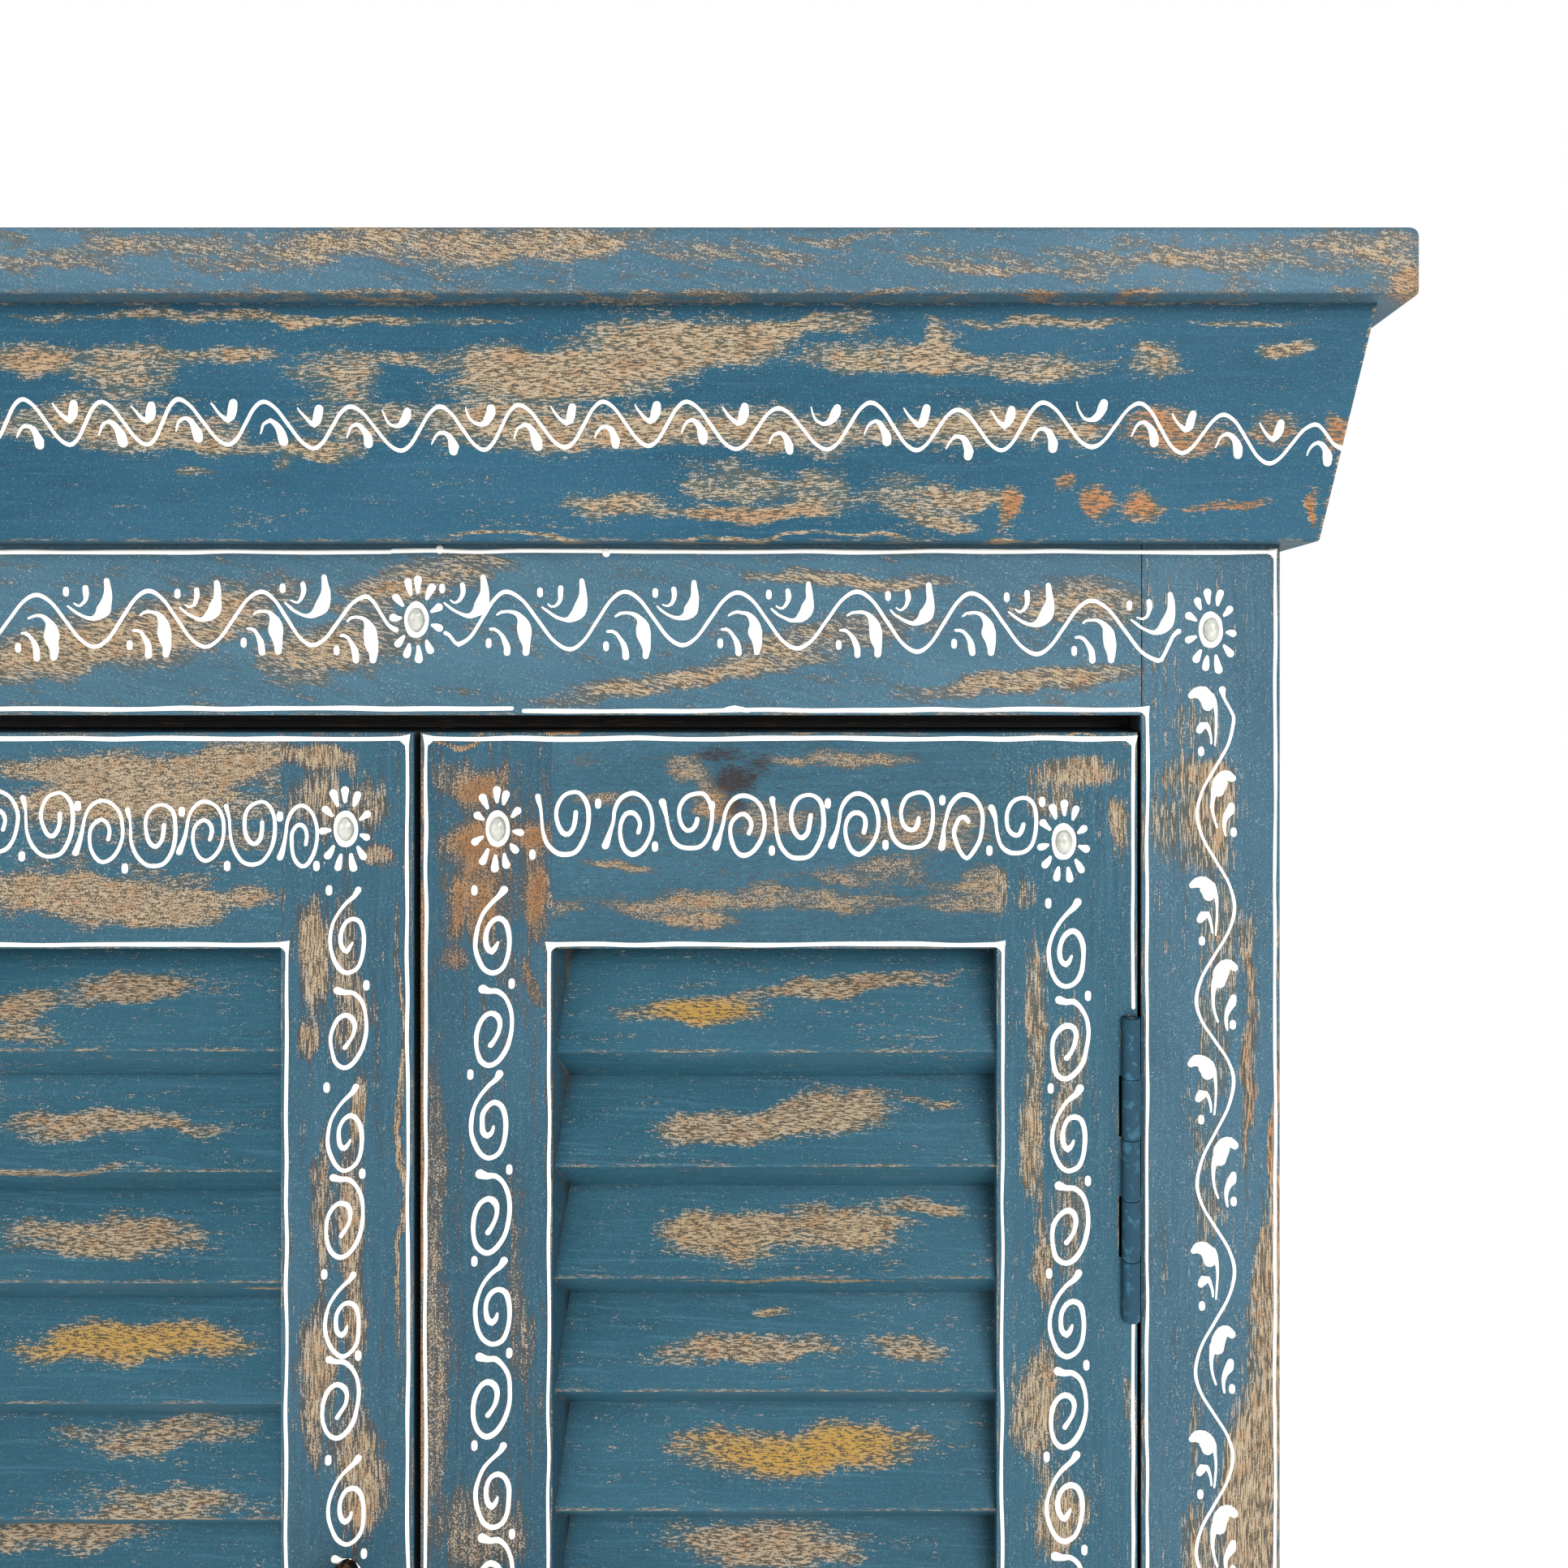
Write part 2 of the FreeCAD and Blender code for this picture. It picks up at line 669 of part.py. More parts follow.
def stone(x, face, z):
    """A domed oval glass stone whose flat back lies on a face, its dome in bands and wedges."""
    centre, axis = Vector(0, 0, 0), Vector(0, 1, 0)
    step = 1 / 4 / dome_bands
    edges = [
        Part.Arc(ball_point(step * band), ball_point(step * (band + 1 / 2)), ball_point(step * (band + 1)))
        for band in range(dome_bands)
    ]
    edges.append(Part.LineSegment(ball_point(step * dome_bands), centre))
    edges.append(Part.LineSegment(centre, ball_point(0)))
    profile = Part.Face(Part.Wire([edge.toShape() for edge in edges]))
    wedges = []
    for number in range(dome_wedges):
        wedge = profile.revolve(centre, axis, full_turn / dome_wedges)
        wedge.rotate(centre, axis, full_turn / dome_wedges * number)
        wedges.append(wedge)
    stretch = Matrix()
    stretch.scale(
        stone_width / 2 / sphere_radius, stone_rise / sphere_radius, stone_height / 2 / sphere_radius)
    dome = wedges[0].fuse(wedges[1:]).transformGeometry(stretch)
    dome.translate(Vector(x, face, z))
    return dome


def door_stones(name):
    """The four stones at the corners of one door."""
    pieces = []
    near = free_edge_x + meeting_stile_width * stone_meeting_share[name]
    far = door_edge_x - hinge_stile_width * stone_hinge_share
    for x, share in ((near, stone_drop_meeting_share), (far, stone_drop_hinge_share)):
        drop = door_rail_height * share
        pieces.append(stone(x, door_front_y, door_top_z - drop))
        pieces.append(stone(x, door_front_y, door_bottom_z + drop))
    return pieces


def frame_stones():
    """The stones on the heads of the posts and over the middle of each pair."""
    half_post = half_frame - post_width / 2
    places = (-half_post, -pair_centre_x, 0, pair_centre_x, half_post)
    return [
        stone(x, face_y, top_rail_bottom_z + rail_reveal * share)
        for x, share in zip(places, stone_frame_rise_shares)
    ]


def build_door(name, edge_x, hand, hinges):
    """Write the pieces of one door."""
    knob_z = (door_top_z + door_bottom_z) / 2 + knob_rise[name]
    rails = list(door_rails())
    blades = slats(name)
    pieces = {
        "hinge_stile": [hinge_stile(rails + blades, hinges)],
        "meeting_stile": [meeting_stile(rails + blades, knob_z)],
        "top_rail": [rails[0]],
        "bottom_rail": [rails[1]],
        "louvres": blades,
        "knob": knob(knob_z),
        "hinge_leaves": [leaf for hinge in hinges for leaf in [hinge["door_leaf"]] + hinge["door_screws"]],
        "stones": door_stones(name),
    }
    for kind, solids in pieces.items():
        save(name + "_" + kind, [in_place(solid, edge_x, hand) for solid in solids])


def build_carcass(hinges):
    """Write the pieces that stand still."""
    top_rail, bottom_rail = frame_rails()
    back_top, back_bottom = back_rails()
    side_top, side_bottom = side_rails()
    right_panel = side_panel()
    back = back_panel()
    floor = floor_board()
    stile = centre_stile([top_rail, bottom_rail])
    cuts = {name: [] for name, edge_x, hand in door_places}
    leaves, pins, screws = [], [], []
    for name, edge_x, hand in door_places:
        for hinge in hinges:
            cuts[name].extend(in_place(cut, edge_x, hand) for cut in hinge["frame_cuts"])
            leaves.append(in_place(hinge["frame_leaf"], edge_x, hand))
            pins.append(in_place(hinge["pin"], edge_x, hand))
            screws.extend(in_place(piece, edge_x, hand) for piece in hinge["frame_screws"])

    front_neighbours = [top_rail, bottom_rail, side_top, side_bottom, right_panel]
    back_neighbours = [back_top, back_bottom, side_top, side_bottom, right_panel, back]
    bare_front = post(face_y, face_y + post_depth, face_y, front_neighbours)
    back_post = post(back_y - post_depth, back_y, back_y, back_neighbours)
    save("front_post_right", [cut_by(bare_front, cuts["door_4"])])
    save("front_post_left", [cut_by(mirrored(bare_front), cuts["door_1"])])
    save("back_post_right", [back_post])
    save("back_post_left", [mirrored(back_post)])
    save("centre_stile", [cut_by(stile, cuts["door_2"] + cuts["door_3"])])
    save("frame_top_rail", [top_rail.cut(stile)])
    save("frame_bottom_rail", [bottom_rail.cut(stile).cut(floor)])
    save("back_top_rail", [back_top.cut(back)])
    save("back_bottom_rail", [back_bottom.cut(back).cut(floor)])
    side_bottom_grooved = side_bottom.cut(right_panel).cut(floor)
    side_top_grooved = side_top.cut(right_panel)
    save("side_rails_right", [side_top_grooved, side_bottom_grooved])
    save("side_rails_left", [mirrored(side_top_grooved), mirrored(side_bottom_grooved)])
    save("side_panel_right", [right_panel])
    save("side_panel_left", [mirrored(right_panel)])
    save("back_panel", [back])
    save("floor_board", [floor])
    save("partition", [partition()])
    save("shelf_right", [shelf()])
    save("shelf_left", [mirrored(shelf())])
    battens = shelf_battens()
    save("shelf_battens", battens + [mirrored(batten) for batten in battens])
    save("door_stops", door_stops())
    save("top_board", [top_board()])
    cornice_front, cornice_left, cornice_right = cornice_pieces()
    save("cornice_front", [cornice_front])
    save("cornice_left", [cornice_left])
    save("cornice_right", [cornice_right])
    save("frame_hinge_leaves", leaves)
    save("hinge_pins", pins)
    save("frame_hinge_screws", screws)
    save("frame_stones", frame_stones())


def main():
    """Build every sub-part."""
    os.makedirs("parts", exist_ok=True)
    hinges = [hinge_parts(centre_z) for centre_z in hinge_centres_z]
    build_carcass(hinges)
    for name, edge_x, hand in door_places:
        build_door(name, edge_x, hand, hinges)


main()
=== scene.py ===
import logging
import math
import random
from dataclasses import dataclass, field
from enum import Enum
from typing import ClassVar

import bpy
from mathutils import Matrix, Vector


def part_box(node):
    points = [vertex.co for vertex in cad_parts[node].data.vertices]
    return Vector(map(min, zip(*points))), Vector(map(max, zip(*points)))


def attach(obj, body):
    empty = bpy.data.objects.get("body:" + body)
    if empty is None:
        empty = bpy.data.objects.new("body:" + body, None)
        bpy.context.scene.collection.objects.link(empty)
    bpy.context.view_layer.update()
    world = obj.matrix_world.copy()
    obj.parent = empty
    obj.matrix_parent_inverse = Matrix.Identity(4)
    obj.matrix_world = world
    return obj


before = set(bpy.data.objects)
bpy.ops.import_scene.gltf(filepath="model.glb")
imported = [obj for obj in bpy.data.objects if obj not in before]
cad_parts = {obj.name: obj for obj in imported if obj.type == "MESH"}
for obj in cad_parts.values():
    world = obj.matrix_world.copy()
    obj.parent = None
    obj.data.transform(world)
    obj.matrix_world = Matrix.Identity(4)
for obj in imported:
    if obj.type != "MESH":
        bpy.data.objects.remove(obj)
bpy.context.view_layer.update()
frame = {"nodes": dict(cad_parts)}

# A painted sideboard: blue chalk paint rubbed through to mango wood, with raised white cone paint.
# Sizes are in millimetres until a mesh is made, and X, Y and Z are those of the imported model.

MM = 0.001
LOG = logging.getLogger("sideboard")

Place = tuple[float, float]
Touch = tuple[float, float, float]
Shape = tuple[Touch, ...]
Colour = tuple[float, float, float, float]
Socket = bpy.types.NodeSocket
Tree = bpy.types.NodeTree
Material = bpy.types.Material


def linear(code: str) -> Colour:
    """The linear colour of an sRGB hex code.

    Args:
        code: Six hex digits after a hash sign.

    Returns:
        Red, green, blue and an alpha of one.
    """
    parts = [int(code[at:at + 2], 16) / 255 for at in (1, 3, 5)]
    bent = [part / 12.92 if part <= 0.04045 else ((part + 0.055) / 1.055) ** 2.4 for part in parts]
    return (bent[0], bent[1], bent[2], 1.0)


def add_node(tree: Tree, kind: str, settings: dict | None = None,
             links: dict | None = None) -> bpy.types.Node:
    """Add a node with its settings and links.

    Args:
        tree: The node tree that gets it.
        kind: The node's type.
        settings: Values of its properties, and of its inputs by number or name.
        links: The sockets that feed its inputs, by number or name.

    Returns:
        The new node.
    """
    node = tree.nodes.new(kind)
    for name, value in (settings or {}).items():
        if isinstance(name, int) or name in node.inputs:
            node.inputs[name].default_value = value
        else:
            setattr(node, name, value)
    for name, source in (links or {}).items():
        tree.links.new(source, node.inputs[name])
    return node


class Grain(Enum):
    """Which way the wood runs: along X, Y or Z."""

    LEVEL = 0
    DEEP = 1
    UPRIGHT = 2

    def unit(self, along: float, across: float) -> tuple[float, ...]:
        """A fibre's reach along X, Y and Z, from its millimetres along and across the grain."""
        return tuple((along if axis == self.value else across) * MM for axis in range(3))


@dataclass(frozen=True)
class Rub:
    """A place where sanding went through the paint: an ellipse seen from the front."""

    x: float
    y: float
    z: float
    half_width: float
    half_height: float
    strength: float
    tilt: float = 0.0
    golden: float = 0.0
    half_depth: float = 22.0


@dataclass(frozen=True)
class Finish:
    """The finish of a piece, made by the nodes that feed its shader."""

    name: str

    def material(self) -> Material:
        """Build the finish.

        Returns:
            The material. Its patterns read Object coordinates; its arris wear, painted shade and
            painted highlight also read the surface's normal and the surfaces near it.
        """
        made = bpy.data.materials.new(self.name)
        made.use_nodes = True
        tree = made.node_tree
        tree.nodes.clear()
        where = add_node(tree, "ShaderNodeTexCoord").outputs["Object"]
        settings, links = self.surface(tree, where)
        shader = add_node(tree, "ShaderNodeBsdfPrincipled", settings, links)
        add_node(tree, "ShaderNodeOutputMaterial", links={"Surface": shader.outputs[0]})
        return made

    def surface(self, tree: Tree, where: Socket) -> tuple[dict, dict]:
        """Lay out the nodes of the finish.

        Args:
            tree: The material's node tree.
            where: Object coordinates.

        Returns:
            The shader's settings and its links.
        """
        raise NotImplementedError


@dataclass(frozen=True)
class ChalkPaint(Finish):
    """Matt blue chalk paint brushed on mango wood and sanded back by hand.

    The eye gets a soft broken blue, slate where the paint is rubbed thin, and tan wood in streaks
    along the grain where it is through, with dark pores that keep their paint, and near-black
    painted shade in the corners and gaps.
    """

    grain: Grain
    tilt: float = 0.0
    seed: float = 0.0
    loose_wear: float = 0.62
    wear: float = -0.24
    edge_wear: float = 0.62
    keeps_behind: float = 0.0
    speckle: float = 0.3
    halo: float = 0.1
    salt: float = 0.45
    brushing: float = 0.42
    shade: str = "#24505f"
    slate: str = "#464f4d"
    stain: str = "#a0683c"
    rubs: tuple[Rub, ...] = ()
    joints: tuple[Rub, ...] = ()
    knots: tuple[Rub, ...] = ()
    seen: bool = False
    unseen_from: float = -150.0
    # How dark the painted shade in corners and gaps gets.
    crevice_shade: float = 0.97

    # Millimetres along and across the grain, detail and roughness of each pattern: mango's pores are
    # dashes of 2.8 by 0.45, the paint's grit 0.5, sanding streaks 18 by 3.6, clumps of paint that
    # hold 5.5, brush strokes 60 by 1.2, and loose patches 170 by 48.
    PATTERNS: ClassVar[dict[str, tuple[float, float, float, float]]] = {
        "dashes": (2.8, 0.45, 1.0, 0.5), "grit": (0.5, 0.5, 1.0, 0.5), "streaks": (18.0, 3.6, 4.0, 0.68),
        "clumps": (5.5, 5.5, 3.0, 0.7), "brush": (60.0, 1.2, 2.0, 0.6), "patches": (170.0, 48.0, 2.0, 0.55)}
    # Uprights were sanded along in long pulls, so their pores and streaks are longer and slimmer.
    UPRIGHT_PATTERNS: ClassVar[dict[str, tuple[float, float, float, float]]] = PATTERNS | {
        "dashes": (6.4, 0.42, 1.5, 0.5), "streaks": (40.0, 1.9, 3.0, 0.62)}
    # The grain wanders over about 35 mm, by up to 3.4 across itself, and the outline of a rub strays
    # by up to 32 along the grain and 14 across it. Arrises are worn round to 1.6, and painted shade
    # darkens within 12 of a corner.
    DRIFT: ClassVar[float] = 35.0
    SWAY: ClassVar[float] = 3.4
    STRAY: ClassVar[tuple[float, float]] = (32.0, 14.0)
    ARRIS: ClassVar[float] = 1.6
    CREVICE: ClassVar[float] = 12.0
    # The picture ends here, on the left along X and below along Z, with the way to full loose wear.
    PICTURE_LEFT: ClassVar[Place] = (128.0, 108.0)
    PICTURE_FOOT: ClassVar[Place] = (438.0, 420.0)
    # More rubbing than this takes nothing more off.
    MOST_WORN: ClassVar[float] = 0.48
    # Dry mango is grey brown, orange in its clumps and grey where it was hardly sanded. White dust
    # and dark soil sit in the coat, and near-black painted shade lies in the corners and gaps.
    TONES: ClassVar[dict[str, str]] = {
        "wood_dark": "#6a5c4b", "wood_light": "#a3927a", "orange_wood": "#98714f", "grey_wood": "#918d85",
        "salted": "#7f959b", "soiled": "#4c4438", "painted_shade": "#0b0908", "knot": "#2b1913"}

    def patterns(self, tree: Tree, where: Socket, drift: Socket) -> dict[str, Socket]:
        """Lay every pattern along the wandering grain.

        Args:
            tree: The material's node tree.
            where: Object coordinates.
            drift: Slow noise that bends the grain.

        Returns:
            Each pattern by its name.
        """
        bent = add_node(tree, "ShaderNodeVectorMath", {
            "operation": "MULTIPLY_ADD", 1: self.grain.unit(0.0, self.SWAY)}, {0: drift, 2: where})
        found = {}
        sizes = self.UPRIGHT_PATTERNS if self.grain is Grain.UPRIGHT else self.PATTERNS
        for name, (along, across, detail, rough) in sizes.items():
            spot = add_node(tree, "ShaderNodeMapping", {
                "vector_type": "TEXTURE", "Rotation": (0.0, math.radians(self.tilt), 0.0),
                "Scale": self.grain.unit(along, across),
                "Location": (self.seed * 0.37, self.seed * 0.11, self.seed * 0.23)},
                {"Vector": bent.outputs[0]})
            noise = add_node(tree, "ShaderNodeTexNoise", {
                "Scale": 1.0, "Detail": detail, "Roughness": rough}, {"Vector": spot.outputs[0]})
            found[name] = noise.outputs["Fac"]
        return found

    @staticmethod
    def inside(tree: Tree, rub: Rub, where: Socket) -> Socket:
        """How far inside a rub a point lies.

        Args:
            tree: The material's node tree.
            rub: The ellipse.
            where: Coordinates of the point, turned about Y by the rub's tilt.

        Returns:
            One at the rub's heart, falling to nothing just outside its rim.
        """
        middle = Matrix.Rotation(math.radians(rub.tilt), 3, "Y") @ Vector((rub.x, rub.y, rub.z))
        sides = (rub.half_width, rub.half_depth, rub.half_height)
        place = add_node(tree, "ShaderNodeVectorMath", {
            "operation": "MULTIPLY_ADD", 1: [1 / (side * MM) for side in sides],
            2: [-at / side for at, side in zip(middle, sides)]}, {0: where})
        reach = add_node(tree, "ShaderNodeVectorMath", {"operation": "LENGTH"}, {0: place.outputs[0]})
        return add_node(tree, "ShaderNodeMapRange", {
            "interpolation_type": "SMOOTHSTEP", 1: 0.25, 2: 1.3, 3: 1.0, 4: 0.0},
            {0: reach.outputs["Value"]}).outputs[0]

    def arrises(self, tree: Tree, where: Socket, streaks: Socket) -> Socket:
        """The wear of the arrises, in broken runs, but not where two pieces meet flush.

        Args:
            tree: The material's node tree.
            where: Object coordinates.
            streaks: The pattern that breaks the wear.

        Returns:
            The wear that edges add.
        """
        round_off = add_node(tree, "ShaderNodeBevel", {"samples": 4, "Radius": self.ARRIS * MM})
        facing = add_node(tree, "ShaderNodeNewGeometry").outputs["True Normal"]
        bending = add_node(tree, "ShaderNodeVectorMath", {"operation": "DOT_PRODUCT"}, {
            0: round_off.outputs[0], 1: facing})
        worn = add_node(tree, "ShaderNodeMapRange", {
            "interpolation_type": "SMOOTHSTEP", 1: 0.93, 2: 0.995, 3: self.edge_wear, 4: 0.0},
            {0: bending.outputs["Value"]}).outputs[0]
        shares = [add_node(tree, "ShaderNodeMapRange", {1: 0.42, 2: 0.56, 3: 0.15, 4: 1.0}, {0: streaks})]
        for joint in self.joints:
            shares.append(add_node(tree, "ShaderNodeMath", {"operation": "SUBTRACT", 0: 1.0}, {
                1: self.inside(tree, joint, where)}))
        if self.keeps_behind:
            start, end = self.keeps_behind * MM, (self.keeps_behind + 1.0) * MM
            depth = add_node(tree, "ShaderNodeSeparateXYZ", links={0: where}).outputs[1]
            shares.append(add_node(tree, "ShaderNodeMapRange", {1: start, 2: end, 3: 1.0, 4: 0.0}, {
                0: depth}))
        for share in shares:
            worn = add_node(tree, "ShaderNodeMath", {"operation": "MULTIPLY"}, {
                0: worn, 1: share.outputs[0]}).outputs[0]
        return worn

    def outside(self, tree: Tree, where: Socket) -> tuple[Socket, Socket]:
        """How far a point lies outside the picture: behind its faces, left of it or below it.

        Args:
            tree: The material's node tree.
            where: Object coordinates.

        Returns:
            The share behind the faces, and the largest of the three shares.
        """
        axes = add_node(tree, "ShaderNodeSeparateXYZ", links={0: where}).outputs
        shares = []
        back = (self.unseen_from, self.unseen_from + 4.0)
        for axis, (start, end) in ((1, back), (0, self.PICTURE_LEFT), (2, self.PICTURE_FOOT)):
            share = add_node(tree, "ShaderNodeMapRange", {1: start * MM, 2: end * MM}, {0: axes[axis]})
            shares.append(share.outputs[0])
        largest = shares[0]
        for share in shares[1:]:
            largest = add_node(tree, "ShaderNodeMath", {"operation": "MAXIMUM"}, {
                0: largest, 1: share}).outputs[0]
        return shares[0], largest

    def loose(self, tree: Tree, strayed: Socket, where: Socket, patches: Socket) -> tuple[Socket, Socket]:
        """The wear of the loose patches, which take over outside the picture.

        Args:
            tree: The material's node tree.
            strayed: The coordinates that the rubs are laid in.
            where: Object coordinates.
            patches: The pattern of the loose patches.

        Returns:
            The wear, and the rubs' coordinates, which are pushed away from the unseen faces.
        """
        least = self.wear
        most: dict[int, Socket] = {}
        if self.seen:
            behind, unseen = self.outside(tree, where)
            away = add_node(tree, "ShaderNodeCombineXYZ", links={1: behind}).outputs[0]
            strayed = add_node(tree, "ShaderNodeVectorMath", links={0: strayed, 1: away}).outputs[0]
            most[4] = add_node(tree, "ShaderNodeMath", {
                "operation": "MULTIPLY_ADD", 1: self.loose_wear - 0.1, 2: least + 0.1},
                {0: unseen}).outputs[0]
        level = add_node(tree, "ShaderNodeMapRange", {
            "interpolation_type": "SMOOTHSTEP", 1: 0.48, 2: 0.74, 3: least, 4: least + self.loose_wear},
            {0: patches} | most)
        return level.outputs[0], strayed

    def rubbed(self, tree: Tree, level: Socket, strayed: Socket) -> tuple[Socket, Socket | None]:
        """Add the rubbed places to the wear.

        Args:
            tree: The material's node tree.
            level: The wear so far.
            strayed: The coordinates that the rubs are laid in.

        Returns:
            The wear with the rubs, and the share of it that is stained golden.
        """
        turned = {0.0: strayed}
        for tilt in sorted({rub.tilt for rub in self.rubs} - {0.0}):
            turned[tilt] = add_node(tree, "ShaderNodeMapping", {
                "Rotation": (0.0, math.radians(tilt), 0.0)}, {"Vector": strayed}).outputs[0]
        golden = None
        for rub in self.rubs:
            share = self.inside(tree, rub, turned[rub.tilt])
            level = add_node(tree, "ShaderNodeMath", {"operation": "MULTIPLY_ADD", 1: rub.strength}, {
                0: share, 2: level}).outputs[0]
            if rub.golden:
                part = add_node(tree, "ShaderNodeMath", {"operation": "MULTIPLY", 1: rub.golden}, {0: share})
                golden = part.outputs[0] if golden is None else add_node(
                    tree, "ShaderNodeMath", {"operation": "MAXIMUM"},
                    {0: golden, 1: part.outputs[0]}).outputs[0]
        return level, golden

    def worn(self, tree: Tree, where: Socket, drift: Socket,
             found: dict[str, Socket]) -> tuple[Socket, Socket | None]:
        """How far the paint is sanded back: loose patches, rubbed places and arrises.

        Args:
            tree: The material's node tree.
            where: Object coordinates.
            drift: Slow noise that makes the rubs' outlines stray.
            found: The patterns.

        Returns:
            The wear, from nothing to its most, and the share of it that is stained golden.
        """
        stray = self.grain.unit(*self.STRAY)
        moved = add_node(tree, "ShaderNodeVectorMath", {"operation": "MULTIPLY_ADD", 1: stray}, {
            0: drift, 2: where})
        strayed = add_node(tree, "ShaderNodeVectorMath", {
            "operation": "SUBTRACT", 1: [side / 2 for side in stray]}, {0: moved.outputs[0]})
        level, strayed = self.loose(tree, strayed.outputs[0], where, found["patches"])
        level, golden = self.rubbed(tree, level, strayed)
        added = [self.arrises(tree, where, found["streaks"])]
        for name, swing in (("streaks", 0.24), ("clumps", 0.12)):
            added.append(add_node(tree, "ShaderNodeMapRange", {1: 0.3, 2: 0.7, 3: -swing, 4: swing}, {
                0: found[name]}).outputs[0])
        for part in added:
            level = add_node(tree, "ShaderNodeMath", {"operation": "ADD"}, {0: level, 1: part}).outputs[0]
        most = add_node(tree, "ShaderNodeMath", {"operation": "MINIMUM", 1: self.MOST_WORN}, {0: level})
        return most.outputs[0], golden

    def shares(self, tree: Tree, found: dict[str, Socket], level: Socket, fine: Socket) -> dict[str, Socket]:
        """How much of each tone a point gets.

        Args:
            tree: The material's node tree.
            found: The patterns.
            level: The wear.
            fine: The dashes and grit that break it.

        Returns:
            Each share by its tone's name.
        """
        broken = add_node(tree, "ShaderNodeMath", {"operation": "ADD"}, {0: level, 1: fine}).outputs[0]
        # Ambient occlusion within 12 mm drives the painted shade, near black in corners and gaps.
        crevice = add_node(tree, "ShaderNodeAmbientOcclusion", {
            "samples": 4, "Distance": self.CREVICE * MM}).outputs["AO"]
        # Each share goes from nothing to its end as its source goes from the first value to the second.
        ramps = {
            "bare": (broken, 0.22, 0.46, 1.0), "thin": (level, self.halo - 0.06, self.halo + 0.26, 0.9),
            "soiled": (level, 0.22, 0.5, 0.85), "light_wood": (fine, -0.25, 0.3, 1.0),
            "orange_wood": (found["clumps"], 0.5, 0.68, 0.55), "grey_wood": (level, 0.42, 0.12, 0.9),
            "dark_coat": (found["streaks"], 0.45, 0.68, 0.6), "light_coat": (found["patches"], 0.4, 0.7, 0.5),
            "brushed": (found["brush"], 0.5, 0.72, self.brushing),
            "salted": (found["grit"], 0.6, 0.74, self.salt),
            "peppered": (found["grit"], 0.42, 0.3, self.salt), "painted_shade": (crevice, 0.56, 0.26, self.crevice_shade)}
        return {
            name: add_node(tree, "ShaderNodeMapRange", {
                "interpolation_type": "SMOOTHSTEP", 1: low, 2: high, 4: end}, {0: source}).outputs[0]
            for name, (source, low, high, end) in ramps.items()}

    def colour(self, tree: Tree, shares: dict[str, Socket], golden: Socket | None) -> Socket:
        """Mix the wood, lay the coat over it and paint near-black shade into the corners.

        Args:
            tree: The material's node tree.
            shares: How much of each tone there is.
            golden: The share of the wood that is stained golden.

        Returns:
            The colour.
        """
        body = linear(self.shade)
        darker = tuple(part * 0.7 for part in body[:3]) + (1.0,)
        lighter = tuple(part * 1.3 + 0.014 for part in body[:3]) + (1.0,)
        tones = {name: linear(code) for name, code in self.TONES.items()}
        wood = add_node(tree, "ShaderNodeMix", {
            "data_type": "RGBA", 6: tones["wood_dark"], 7: tones["wood_light"]},
            {0: shares["light_wood"]}).outputs[2]
        coat = add_node(tree, "ShaderNodeMix", {"data_type": "RGBA", 6: body, 7: darker}, {
            0: shares["dark_coat"]}).outputs[2]
        stains = [(shares[name], tones[name]) for name in ("orange_wood", "grey_wood")]
        if golden is not None:
            stains.append((golden, linear(self.stain)))
        for share, tone in stains:
            wood = add_node(tree, "ShaderNodeMix", {"data_type": "RGBA", 7: tone}, {
                0: share, 6: wood}).outputs[2]
        for name, tone in (
                ("light_coat", lighter), ("brushed", lighter), ("peppered", darker),
                ("salted", tones["salted"]), ("thin", linear(self.slate)), ("soiled", tones["soiled"])):
            coat = add_node(tree, "ShaderNodeMix", {"data_type": "RGBA", 7: tone}, {
                0: shares[name], 6: coat}).outputs[2]
        colour = add_node(tree, "ShaderNodeMix", {"data_type": "RGBA"}, {0: shares["bare"], 6: coat, 7: wood})
        return add_node(tree, "ShaderNodeMix", {"data_type": "RGBA", 7: tones["painted_shade"]}, {
            0: shares["painted_shade"], 6: colour.outputs[2]}).outputs[2]

    def surface(self, tree: Tree, where: Socket) -> tuple[dict, dict]:
        """Lay the paint over the wood.

        Args:
            tree: The material's node tree.
            where: Object coordinates.

        Returns:
            The shader's settings and its links.
        """
        drift = add_node(tree, "ShaderNodeTexNoise", {
            "Scale": 1 / (self.DRIFT * MM), "Detail": 2.0, "Roughness": 0.55},
            {"Vector": where}).outputs["Color"]
        found = self.patterns(tree, where, drift)
        level, golden = self.worn(tree, where, drift, found)
        swings = {"dashes": 0.4 * (1.15 - self.speckle), "grit": 0.28 * (0.35 + self.speckle)}
        dashes, grit = (
            add_node(tree, "ShaderNodeMapRange", {1: 0.36, 2: 0.64, 3: -swing, 4: swing}, {
                0: found[name]}).outputs[0]
            for name, swing in swings.items())
        fine = add_node(tree, "ShaderNodeMath", {"operation": "ADD"}, {0: dashes, 1: grit}).outputs[0]
        shares = self.shares(tree, found, level, fine)
        colour = self.colour(tree, shares, golden)
        for knot in self.knots:
            ring = add_node(tree, "ShaderNodeMath", {"operation": "MULTIPLY_ADD", 1: knot.strength}, {
                0: self.inside(tree, knot, where), 2: fine})
            share = add_node(tree, "ShaderNodeMapRange", {1: 0.25, 2: 0.8, 4: 0.85}, {0: ring.outputs[0]})
            colour = add_node(tree, "ShaderNodeMix", {"data_type": "RGBA", 7: linear(self.TONES["knot"])}, {
                0: share.outputs[0], 6: colour}).outputs[2]
        rough = add_node(tree, "ShaderNodeMapRange", {3: 0.55, 4: 0.76}, {0: shares["bare"]}).outputs[0]
